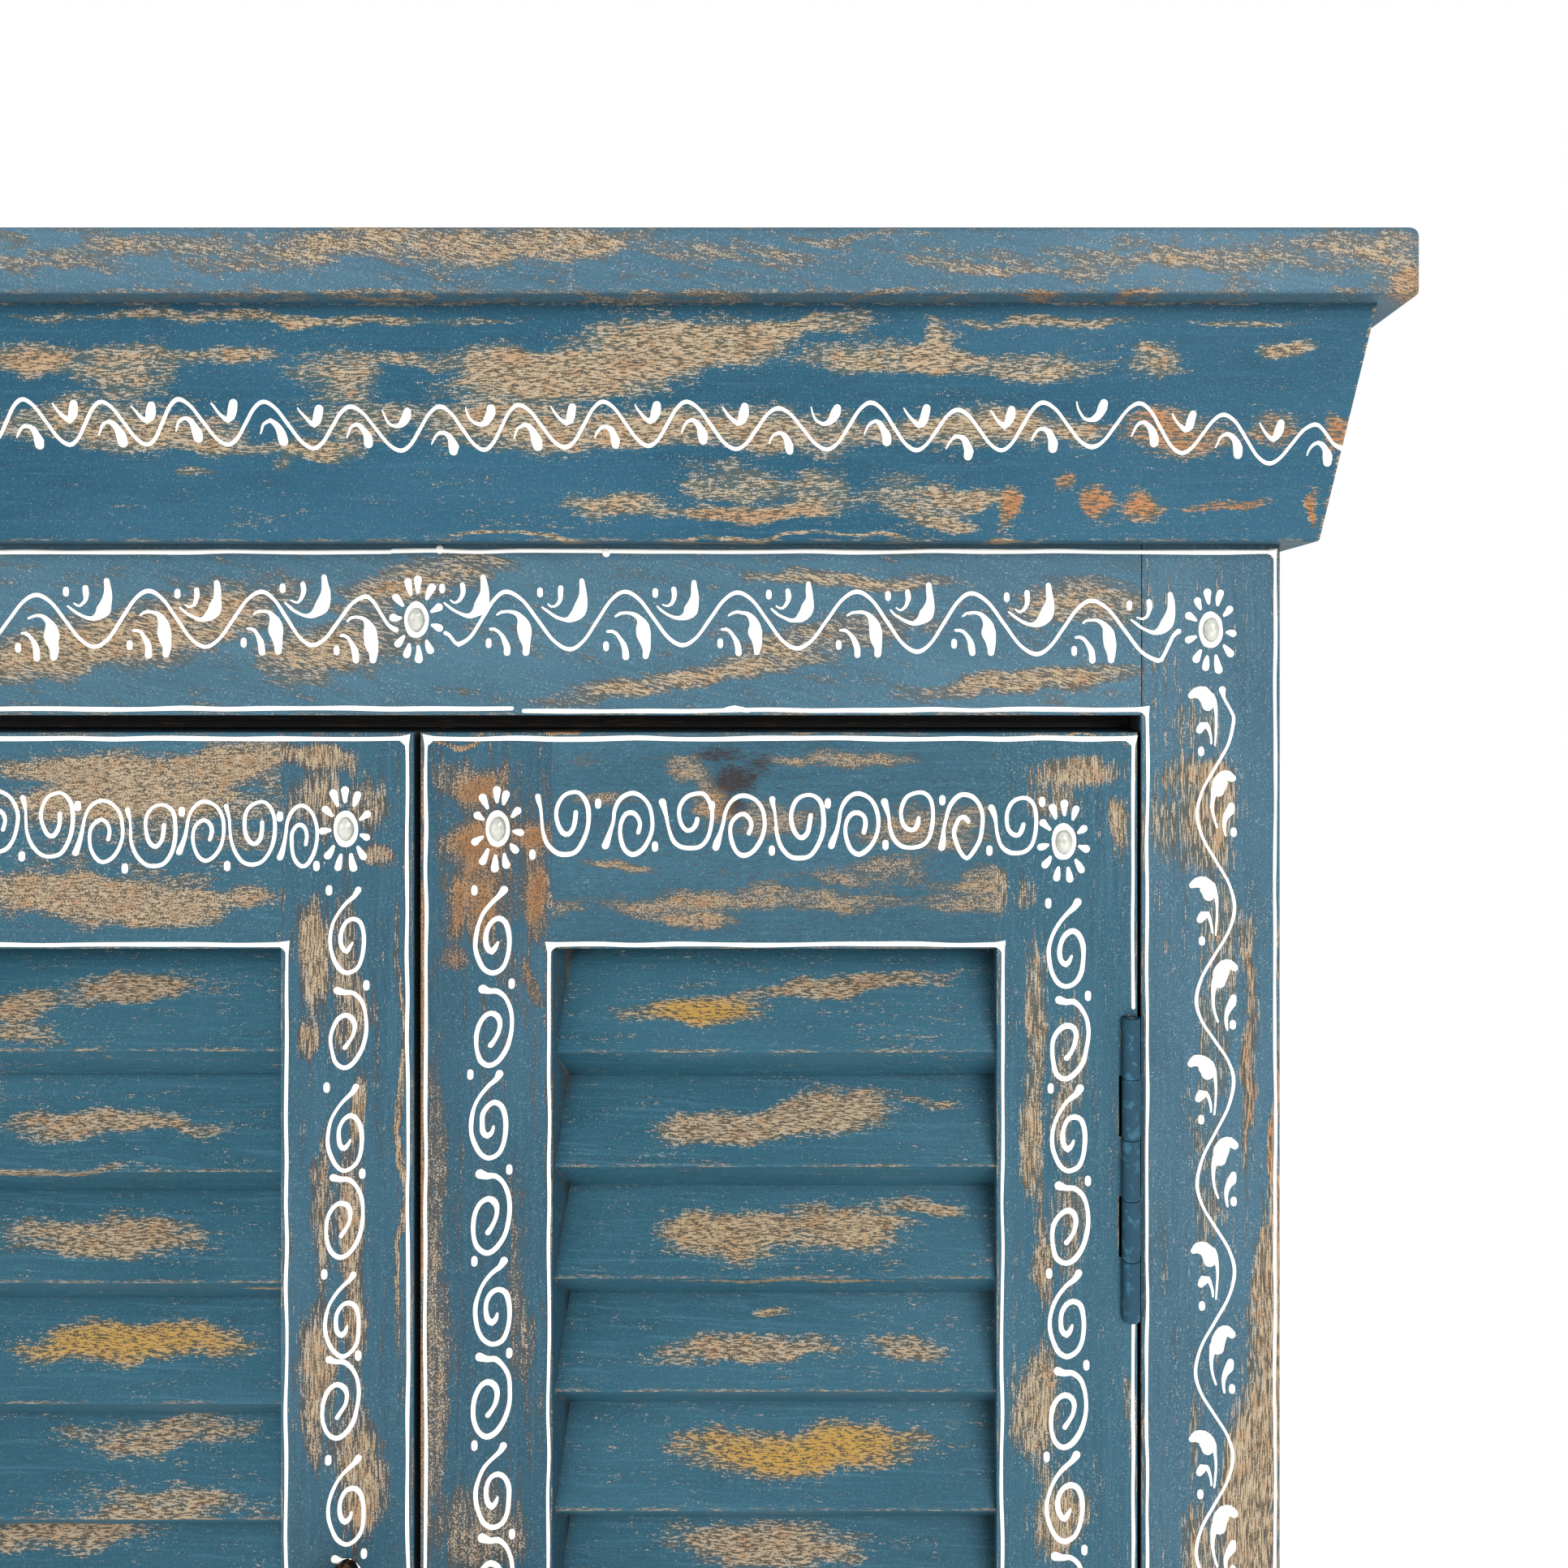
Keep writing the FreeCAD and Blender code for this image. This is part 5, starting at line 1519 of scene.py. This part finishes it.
# Rubbed places as the picture shows them: across, down, half width, half height, strength, tilt, golden.
SEEN_RUBS: dict[str, tuple[tuple[float, ...], ...]] = {
    "top_board": (
        (150, 310, 190, 20, 0.35, 3), (420, 305, 170, 22, 0.49, 8), (600, 300, 130, 24, 0.55, 10),
        (720, 300, 80, 22, 0.49, 8), (900, 310, 150, 16, 0.29), (1200, 328, 120, 9, 0.33),
        (1050, 292, 120, 8, 0.29), (1300, 318, 240, 20, 0.19), (1480, 320, 90, 14, 0.29),
        (1620, 312, 90, 26, 0.29), (1705, 312, 46, 34, 0.41), (1740, 345, 26, 22, 0.71, 0, 0.3),
        (700, 361, 640, 3.5, 0.35), (1330, 360, 110, 4, 0.39, 0, 0.5)),
    "cornice_front": (
        (300, 393, 360, 8, 0.64), (35, 448, 56, 24, 0.82, 0, 0.25), (150, 458, 80, 36, 0.68, 6),
        (280, 436, 90, 12, 0.66), (415, 462, 56, 34, 0.64), (500, 440, 60, 12, 0.52),
        (620, 462, 90, 42, 0.84), (770, 425, 90, 44, 0.74), (730, 465, 130, 30, 0.82),
        (880, 420, 90, 38, 0.82), (1000, 400, 110, 20, 0.72), (1060, 440, 110, 20, 0.72),
        (1155, 412, 26, 26, 0.72), (1160, 445, 50, 18, 0.78), (1280, 392, 120, 8, 0.62),
        (1270, 450, 120, 24, 0.62, 2), (1430, 448, 40, 28, 0.66), (1530, 396, 110, 6, 0.52),
        (1597, 430, 46, 13, 0.78), (140, 522, 170, 34, 0.78), (280, 545, 60, 18, 0.52),
        (380, 552, 70, 14, 0.72), (430, 520, 70, 40, 0.56), (580, 520, 100, 36, 0.64),
        (720, 530, 110, 38, 0.72), (860, 530, 110, 30, 0.64), (990, 530, 110, 34, 0.66),
        (1120, 530, 60, 20, 0.52), (1230, 530, 100, 28, 0.78), (1330, 535, 40, 26, 0.62),
        (1445, 530, 80, 30, 0.66, 0, 0.75), (1560, 528, 40, 38, 0.52, 0, 0.7),
        (1640, 530, 20, 34, 0.62, 0, 0.9), (765, 622, 64, 18, 0.66), (910, 600, 90, 36, 0.56),
        (930, 633, 110, 11, 0.76, 0, 0.3), (1010, 612, 40, 40, 0.56), (1130, 620, 90, 40, 0.52),
        (1200, 612, 60, 14, 0.64, 3), (1170, 643, 40, 8, 0.68), (1245, 622, 15, 30, 0.66, 0, 0.8),
        (1356, 622, 22, 26, 0.72, 0, 0.9), (1412, 625, 34, 22, 0.64, 0, 0.8),
        (1310, 600, 22, 12, 0.58, 0, 0.8), (1510, 626, 70, 9, 0.48, 0, 0.9),
        (1626, 626, 9, 30, 0.66, 0, 0.9), (640, 662, 130, 3.5, 0.66), (960, 663, 200, 3.5, 0.68),
        (1230, 664, 80, 4, 0.72), (340, 575, 24, 14, 0.46), (240, 580, 30, 12, 0.42)),
    "frame_top_rail": (
        (60, 800, 130, 34, 0.71, 14), (230, 770, 150, 44, 0.67, 14), (420, 800, 120, 34, 0.71, 14),
        (520, 720, 120, 30, 0.61, 14), (830, 842, 200, 16, 0.67, 8), (1010, 790, 160, 30, 0.55, 14),
        (1270, 840, 160, 15, 0.73, 6), (1040, 712, 150, 10, 0.65), (1330, 745, 100, 30, 0.57)),
    "front_post_right": (
        (1474, 965, 52, 26, 0.48), (1460, 1020, 46, 40, 0.47), (1505, 1000, 32, 64, 0.47),
        (1478, 900, 40, 50, 0.29), (1500, 1180, 30, 160, 0.35), (1486, 1400, 24, 150, 0.31),
        (1536, 1320, 11, 140, 0.55, 0, 0.35), (1532, 1180, 12, 60, 0.45),
        (1573, 1420, 7, 160, 0.65, 0, 0.4), (1566, 1560, 22, 140, 0.67, -5),
        (1552, 1740, 40, 180, 0.71, -6), (1545, 1900, 50, 120, 0.71), (1475, 1900, 26, 60, 0.55),
        (1470, 1780, 14, 90, 0.25), (1576, 1180, 4, 120, 0.35)),
    "door_4_top_rail": (
        (740, 985, 50, 10, 0.54), (770, 1062, 40, 8, 0.58), (850, 950, 40, 20, 0.58),
        (890, 985, 30, 30, 0.64, 0, 0.3), (700, 1125, 40, 12, 0.5), (830, 1115, 90, 22, 0.56),
        (870, 1135, 50, 12, 0.66), (960, 1010, 60, 30, 0.5), (980, 1110, 120, 20, 0.58),
        (1060, 1075, 90, 20, 0.54), (1140, 1020, 90, 40, 0.54), (1050, 935, 120, 12, 0.58),
        (1180, 1110, 90, 26, 0.56), (1210, 1080, 40, 20, 0.64), (880, 903, 240, 3, 0.74)),
    "door_4_meeting_stile": (
        (519, 1400, 5, 560, 0.95, 0, 0.9), (700, 900, 190, 4, 0.85, 0, 0.5), (560, 945, 30, 30, 0.45),
        (590, 970, 36, 26, 0.53, 0, 0.9), (580, 1045, 42, 28, 0.63, 0, 1.0),
        (660, 1040, 30, 26, 0.57, 0, 1.0), (563, 1115, 14, 54, 0.53, -18, 0.9),
        (598, 1120, 22, 50, 0.51, 0, 0.9), (664, 1120, 17, 60, 0.57, 0, 1.0),
        (556, 1180, 20, 26, 0.47, 0, 0.6), (655, 1210, 10, 30, 0.45, 18, 0.8),
        (610, 1060, 80, 130, 0.27, 0, 0.8), (534, 1700, 24, 240, 0.45), (600, 1890, 66, 60, 0.47),
        (536, 1420, 18, 150, 0.37), (640, 1600, 18, 140, 0.31), (600, 903, 70, 3, 0.61)),
    "door_4_hinge_stile": (
        (1330, 950, 70, 20, 0.68), (1376, 1020, 18, 42, 0.76), (1292, 985, 40, 30, 0.52),
        (1266, 1085, 14, 30, 0.44), (1274, 1240, 16, 110, 0.6), (1272, 1410, 20, 90, 0.72),
        (1284, 1550, 18, 70, 0.68), (1312, 1320, 24, 110, 0.44), (1318, 1510, 24, 100, 0.42),
        (1276, 1735, 36, 80, 0.74), (1300, 1870, 38, 66, 0.74), (1390, 1740, 8, 60, 0.48),
        (1330, 903, 70, 3, 0.68)),
    "door_3_meeting_stile": (
        (396, 938, 50, 22, 0.92), (392, 1000, 40, 60, 0.54), (456, 1000, 30, 60, 0.56),
        (386, 1165, 22, 62, 0.88), (378, 1265, 20, 40, 0.66), (430, 1210, 24, 110, 0.64),
        (466, 1078, 26, 14, 0.8), (442, 1370, 14, 50, 0.86), (430, 1500, 24, 90, 0.68),
        (395, 1480, 14, 110, 0.54), (440, 1640, 22, 90, 0.72), (395, 1700, 24, 130, 0.7),
        (445, 1830, 34, 100, 0.72), (494, 1400, 5, 300, 0.7)),
    "door_3_top_rail": (
        (190, 1000, 210, 40, 0.36), (130, 1085, 200, 60, 0.26), (60, 945, 110, 16, 0.64),
        (190, 965, 150, 38, 0.7), (300, 935, 70, 24, 0.78, 4), (90, 990, 110, 24, 0.54),
        (110, 1105, 150, 30, 0.76), (230, 1120, 70, 22, 0.8), (315, 1112, 40, 16, 0.56),
        (300, 1040, 60, 16, 0.4)),
    "door_4_louvres": (
        (855, 1244, 84, 14, 0.88, 2, 0.9), (1050, 1218, 140, 13, 0.78, 4), (900, 1387, 100, 22, 0.88, 4),
        (1030, 1370, 90, 24, 0.88, 3), (1150, 1358, 42, 7, 0.56), (890, 1522, 76, 26, 0.88, 0, 0.15),
        (1030, 1514, 110, 26, 0.82, 0, 0.1), (1140, 1492, 50, 10, 0.72), (980, 1566, 170, 7, 0.64, 0, 0.3),
        (930, 1656, 112, 14, 0.84, 1), (1120, 1656, 66, 16, 0.62, -6), (945, 1622, 30, 6, 0.56),
        (1000, 1785, 180, 24, 0.88, 2, 0.9), (940, 1908, 160, 20, 0.76)),
    "door_3_louvres": (
        (30, 1236, 50, 22, 0.8), (150, 1222, 90, 18, 0.76), (45, 1266, 80, 12, 0.5),
        (130, 1382, 150, 16, 0.8), (60, 1430, 150, 8, 0.64), (120, 1522, 160, 22, 0.84),
        (150, 1655, 170, 24, 0.86, 0, 0.8), (330, 1578, 26, 6, 0.74), (190, 1775, 150, 20, 0.66, 3),
        (210, 1832, 130, 20, 0.64), (60, 1905, 140, 20, 0.7)),
}

# Dark knots and a swirl in the upper rail of door 4: across, down, half width, half height, strength.
SEEN_KNOTS: dict[str, tuple[tuple[float, ...], ...]] = {
    "door_4_top_rail": (
        (906, 962, 34, 24, 0.95), (886, 930, 36, 12, 0.75), (934, 940, 22, 20, 0.6), (905, 994, 20, 14, 0.7))}

# Pieces whose faces meet flush, so that a rub runs on from one to the next.
FLUSH: tuple[tuple[str, ...], ...] = (
    ("frame_top_rail", "front_post_right"),
    ("door_4_top_rail", "door_4_meeting_stile", "door_4_hinge_stile"),
    ("door_3_top_rail", "door_3_meeting_stile"))

# How the paint of a piece differs from the rest: its shade, its stain and how its wear breaks up.
# The shades are partly the paint's own tone and partly painted light: the board, the top rail and
# the right post are lighter for the light and sheen that fall on them, and the cornice, which faces
# down a little, and the recessed louvres are darker. The louvres and bottom rails get less painted
# shade in their slots.
LOOKS: dict[str, dict] = {
    "cornice_front": {
        "shade": "#17475c", "salt": 0.3, "wear": -0.3, "loose_wear": 0.72, "halo": -0.04, "slate": "#454d48"},
    "top_board": {
        "shade": "#3a5a6b", "speckle": 0.5, "wear": -0.13, "salt": 0.5, "halo": -0.06, "slate": "#4f504d",
        "unseen_from": -165.0},
    "frame_top_rail": {"shade": "#37596a", "salt": 0.6, "halo": -0.12, "slate": "#494c49"},
    "front_post_right": {"shade": "#335465", "salt": 0.6, "speckle": 0.2, "halo": -0.04, "slate": "#47473f"},
    "front_post_left": {"shade": "#335465", "salt": 0.6},
    "centre_stile": {"shade": "#2e5162"},
    "top_rail": {"shade": "#284f60", "speckle": 0.6, "salt": 0.5, "halo": -0.04, "slate": "#434744"},
    "meeting_stile": {
        "shade": "#24495a", "speckle": 0.8, "halo": -0.14, "slate": "#413f3c", "stain": "#86603f"},
    "hinge_stile": {"shade": "#284f60", "speckle": 0.4, "halo": -0.02, "slate": "#47473f"},
    "door_3_meeting_stile": {"shade": "#284d5e", "speckle": 0.4, "halo": -0.1, "slate": "#413f3c"},
    "louvres": {
        "shade": "#214e5f", "stain": "#a8833a", "salt": 0.25, "brushing": 0.75, "halo": 0.0,
        "slate": "#444a45", "edge_wear": 0.76, "unseen_from": -141.0, "crevice_shade": 0.8},
    "bottom_rail": {"crevice_shade": 0.8}}

# The grain of each painted piece of the frame, and its tilt in degrees.
LEVEL, DEEP, UPRIGHT = Grain
FRAME_GRAIN: dict[str, tuple[Grain, float]] = {
    "top_board": (LEVEL, 11.0), "cornice_front": (LEVEL, 0.0), "cornice_left": (DEEP, 0.0),
    "cornice_right": (DEEP, 0.0), "front_post_left": (UPRIGHT, 0.0), "front_post_right": (UPRIGHT, 0.0),
    "back_post_left": (UPRIGHT, 0.0), "back_post_right": (UPRIGHT, 0.0), "centre_stile": (UPRIGHT, 0.0),
    "frame_top_rail": (LEVEL, 12.0), "frame_bottom_rail": (LEVEL, 4.0), "side_rails_left": (DEEP, 0.0),
    "side_rails_right": (DEEP, 0.0), "side_panel_left": (UPRIGHT, 0.0), "side_panel_right": (UPRIGHT, 0.0),
    "back_top_rail": (LEVEL, 0.0), "back_bottom_rail": (LEVEL, 0.0)}
# The grain of each bare piece inside.
INSIDE_GRAIN: dict[str, Grain] = {
    "back_panel": LEVEL, "floor_board": LEVEL, "partition": UPRIGHT, "shelf_left": LEVEL,
    "shelf_right": LEVEL, "shelf_battens": DEEP}


@dataclass
class Finishes:
    """Every finish of the woodwork and the ironwork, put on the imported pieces."""

    sight: Sight
    front: Face
    board: Face
    cornice: Face
    slat_nose: float = -155.0
    slat_depth: float = 13.0

    def rubs(self, node: str) -> tuple[Rub, ...]:
        """The rubbed places that the picture shows on a piece, and those that reach it from its neighbours.

        Args:
            node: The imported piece.

        Returns:
            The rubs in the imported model's millimetres.
        """
        face = {"top_board": self.board, "cornice_front": self.cornice}.get(node, self.front)
        half_depth = Rub.half_depth
        if node.endswith("louvres"):
            face = Face(self.front.start + Vector((0, self.slat_depth, 0)), self.front.across, self.front.up)
            half_depth = 90.0
        group = next((group for group in FLUSH if node in group), (node,))
        low, high = (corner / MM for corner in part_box(node))
        found = []
        for across, down, *sides, strength, tilt, golden in (
                (*entry, 0.0, 0.0)[:7] for name in group for entry in SEEN_RUBS.get(name, ())):
            spot, half_width, half_height = self.sight.ellipse(face, across, down, *sides)
            reach = (1.3 * half_width, 1.3 * half_height)
            beside = low.x - reach[0] < spot.x < high.x + reach[0]
            if len(group) == 1 or beside and low.z - reach[1] < spot.z < high.z + reach[1]:
                found.append(Rub(*spot, half_width, half_height, strength, tilt, golden, half_depth))
        return tuple(found)

    def knots(self, node: str) -> tuple[Rub, ...]:
        """The knots that the picture shows on a piece.

        Args:
            node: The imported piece.

        Returns:
            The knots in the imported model's millimetres.
        """
        found = []
        for across, down, half_width, half_height, strength in SEEN_KNOTS.get(node, ()):
            spot, *sides = self.sight.ellipse(self.front, across, down, half_width, half_height)
            found.append(Rub(*spot, *sides, strength))
        return tuple(found)

    def seams(self, across: tuple[float, ...], spans: list[Place]) -> tuple[Rub, ...]:
        """The upright seams where two pieces of a face meet flush.

        Args:
            across: Where they stand, along X.
            spans: The lower and upper end of each.

        Returns:
            The seams, one for each place and span.
        """
        return tuple(
            Rub(x, self.front.start.y, (low + high) / 2, 5.0, (high - low) / 2 * 1.15, 1.0, half_depth=20.0)
            for x in across for low, high in spans)

    def dress(self, node: str, finish: Finish) -> None:
        """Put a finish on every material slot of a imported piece.

        Args:
            node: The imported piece.
            finish: The finish.
        """
        made = finish.material()
        piece = frame["nodes"][node]
        if not piece.material_slots:
            piece.data.materials.append(made)
        for place in piece.material_slots:
            place.material = made
        LOG.info("%s: %s", node, made.name)

    def paint(self, node: str, grain: Grain, tilt: float, seed: float, joints: tuple[Rub, ...],
              kind: str = "", keeps_behind: float = 0.0) -> None:
        """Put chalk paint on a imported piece.

        Args:
            node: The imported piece.
            grain: Which way its wood runs.
            tilt: How far the grain is tilted, in degrees.
            seed: What makes its wear its own.
            joints: Where it meets its neighbours flush.
            kind: Its kind, for a piece of a door.
            keeps_behind: The Y from which its arrises keep their paint, or nothing.
        """
        self.dress(node, ChalkPaint(
            "chalk_paint_" + node, grain, tilt, seed, keeps_behind=keeps_behind, rubs=self.rubs(node),
            joints=joints, knots=self.knots(node), seen=node in SEEN_RUBS,
            **LOOKS.get(node, LOOKS.get(kind, {}))))

    def leaves(self, node: str, part: str) -> None:
        """Put the iron's paint on the hinge leaves of a part.

        Args:
            node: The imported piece.
            part: What the leaves belong to.
        """
        self.dress(node, Ironwork("painted_iron_" + part, "#173d4f", "#2c586c", 0.0, 0.34, 0.2))

    def dress_door(self, door: Door) -> None:
        """Dress a door with all that it carries.

        Args:
            door: The door.
        """
        sides = {"hinge_stile": (door.open_hung,), "meeting_stile": (door.open_free,)}
        top, bottom = (door.open_top, door.top), (door.bottom, door.open_bottom)
        spans = {"top_rail": [top], "bottom_rail": [bottom], "louvres": []}
        for kind in ("hinge_stile", "meeting_stile", "top_rail", "bottom_rail", "louvres"):
            across = sides.get(kind, (door.open_free, door.open_hung))
            slats = kind == "louvres"
            self.paint(
                "%s_%s" % (door.body, kind), UPRIGHT if kind in sides else LEVEL,
                2.0 if slats else 0.0, door.number * 3.1 + len(kind),
                self.seams(across, spans.get(kind, [top, bottom])), kind, self.slat_nose if slats else 0.0)
        self.dress(door.body + "_knob", Ironwork("waxed_iron_" + door.body, "#1b1512", "#5a3d28", 0.65, 0.42))
        self.leaves(door.body + "_hinge_leaves", door.body)
        self.dress(door.body + "_stones", StoneGlass("glass_stone_" + door.body))

    def build(self, doors: list[Door], carcass: Carcass) -> None:
        """Dress the whole sideboard.

        Args:
            doors: The four doors.
            carcass: The fixed woodwork.
        """
        inner, stile = carcass.inner, carcass.stile
        rail, foot = (carcass.rail_bottom, carcass.rail_top), (carcass.foot_bottom, carcass.foot_top)
        joints = {
            "frame_top_rail": self.seams((inner, -inner), [rail]),
            "frame_bottom_rail": self.seams((inner, -inner, stile, -stile), [foot]),
            "front_post_left": self.seams((-inner,), [rail, foot]),
            "front_post_right": self.seams((inner,), [rail, foot]),
            "centre_stile": self.seams((stile, -stile), [foot])}
        for at, (node, (grain, tilt)) in enumerate(FRAME_GRAIN.items()):
            self.paint(node, grain, tilt, at * 1.7 + 0.3, joints.get(node, ()))
        for door in doors:
            self.dress_door(door)
        self.dress("frame_stones", StoneGlass("glass_stone_frame"))
        self.leaves("frame_hinge_leaves", "frame")
        for node in ("hinge_pins", "frame_hinge_screws"):
            self.dress(node, Ironwork("bright_steel_" + node, "#b9b6ae", "#7d776b", 1.0, 0.35))
        for at, (node, grain) in enumerate(INSIDE_GRAIN.items()):
            self.dress(node, BareWood("bare_mango_" + node, grain, at * 0.31))
        # The door stops are coloured near black as painted shadow, so that the gaps in front of them read
        # dark.
        self.dress("door_stops", BareWood(
            "shadow_dark_mango_door_stops", LEVEL, 3.3, "#14100d", "#1f1915"))


@dataclass(frozen=True)
class Lamp:
    """A soft square lamp: where it hangs and what it points at, in metres, its side and its power."""

    place: Touch
    aim: Touch
    size: float
    power: float

    def build(self) -> None:
        """Hang the lamp."""
        bpy.ops.object.light_add(type="AREA", location=self.place)
        lamp = bpy.context.object
        lamp.data.size = self.size
        lamp.data.energy = self.power
        lamp.rotation_euler = (Vector(self.aim) - Vector(self.place)).to_track_quat("-Z", "Y").to_euler()


@dataclass(frozen=True)
class Studio:
    """The plain pale room: a floor, a white sky and two soft lamps."""

    floor_size: float = 14.0
    paper: str = "#f2f1ee"
    paper_glow: float = 0.52
    sky_light: float = 0.6
    lamps: tuple[Lamp, ...] = (
        Lamp((1.35, -2.5, 1.65), (0.35, -0.16, 0.65), 1.2, 62.0),
        Lamp((-1.9, -2.6, 1.7), (-0.2, -0.16, 0.6), 1.8, 18.0))

    def build(self) -> None:
        """Lay the floor and hang the lights."""
        bpy.ops.object.select_all(action="DESELECT")
        bpy.ops.mesh.primitive_plane_add(size=self.floor_size, location=(0, 0, -0.0005))
        floor = bpy.context.object
        floor.name = "studio_floor"
        paper = bpy.data.materials.new("pale_paper")
        paper.use_nodes = True
        inputs = paper.node_tree.nodes["Principled BSDF"].inputs
        inputs["Base Color"].default_value = linear(self.paper)
        inputs["Roughness"].default_value = 0.9
        inputs["Emission Color"].default_value = (1, 1, 1, 1)
        inputs["Emission Strength"].default_value = self.paper_glow
        floor.data.materials.append(paper)
        sky = bpy.data.worlds.new("white_room")
        bpy.context.scene.world = sky
        sky.use_nodes = True
        tree = sky.node_tree
        seen = add_node(tree, "ShaderNodeLightPath").outputs["Is Camera Ray"]
        strength = add_node(tree, "ShaderNodeMapRange", {3: self.sky_light, 4: 1.0}, {0: seen})
        tree.links.new(strength.outputs[0], tree.nodes["Background"].inputs["Strength"])
        tree.nodes["Background"].inputs["Color"].default_value = (1, 1, 1, 1)
        for lamp in self.lamps:
            lamp.build()
        bpy.context.scene.view_settings.view_transform = "Standard"


# The scrolls and dots of doors 3 and 4 as the picture shows them, in pixels across and down it. A scroll
# of a row also has its width against the usual one.
DOOR_3_COLUMNS = {
    "right": (
        ("left", 428, 1150), ("right", 429, 1267), ("left", 425, 1393), ("right", 424, 1499),
        ("left", 422, 1623), ("right", 419, 1723), ("left", 427, 1852))}
DOOR_4_COLUMNS = {
    "left": (
        ("left", 607, 1150), ("right", 608, 1265), ("left", 602, 1377), ("right", 605, 1494),
        ("left", 607, 1607), ("right", 605, 1720), ("left", 607, 1834)),
    "right": (
        ("left", 1314, 1166), ("right", 1318, 1280), ("left", 1317, 1394), ("right", 1318, 1508),
        ("left", 1315, 1622), ("right", 1316, 1735), ("left", 1312, 1848))}
DOOR_4_ROW = (
    ("cup", 695, 1014, 1.0), ("crook", 785, 1016, 1.0), ("wide_cup", 850, 1012, 1.0),
    ("crook", 922, 1018, 1.05), ("cup", 984, 1018, 1.0), ("crook", 1063, 1016, 1.0),
    ("wide_cup", 1123, 1011, 1.0), ("open_crook", 1192, 1018, 1.0), ("wide_cup", 1252, 1018, 0.9))
DOOR_4_DOTS = (
    (737, 990), (877, 993), (1020, 990), (1161, 986), (1284, 988), (656, 1053), (807, 1043), (951, 1048),
    (1091, 1041), (1219, 1048))
DOOR_3_ROW = (
    ("crook", 3, 1013, 1.0), ("cup", 60, 1016, 0.97), ("crook", 132, 1025, 1.0), ("cup", 188, 1029, 0.97),
    ("crook", 258, 1025, 0.98), ("cup", 310, 1026, 0.95), ("crook", 376, 1031, 0.79))
DOOR_3_DOTS = ((345, 1006), (280, 1067), (224, 1000), (154, 1070), (96, 993), (27, 1055), (390, 1067))


def main() -> None:
    """Build the studio, dress the woodwork and paint it, in that order."""
    logging.basicConfig(level=logging.INFO, format="%(message)s")
    sight = Sight()
    sight.camera()
    Studio().build()
    paint = ConePaint().material()
    carcass = Carcass(sight, random.Random(11), paint)
    front = carcass.front
    doors = [
        Door(1, -1, front, sight, random.Random(21), paint),
        Door(2, 1, front, sight, random.Random(22), paint),
        Door(3, -1, front, sight, random.Random(23), paint, DOOR_3_ROW, DOOR_3_DOTS, DOOR_3_COLUMNS, 0.87),
        Door(4, 1, front, sight, random.Random(24), paint, DOOR_4_ROW, DOOR_4_DOTS, DOOR_4_COLUMNS),
    ]
    board = Face(Vector((0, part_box("top_board")[0].y / MM, 0)), front.across, front.up)
    Finishes(sight, front, board, carcass.cornice_faces()["front"]).build(doors, carcass)
    carcass.build()
    for door in doors:
        door.build()


if __name__ == "__main__":
    main()
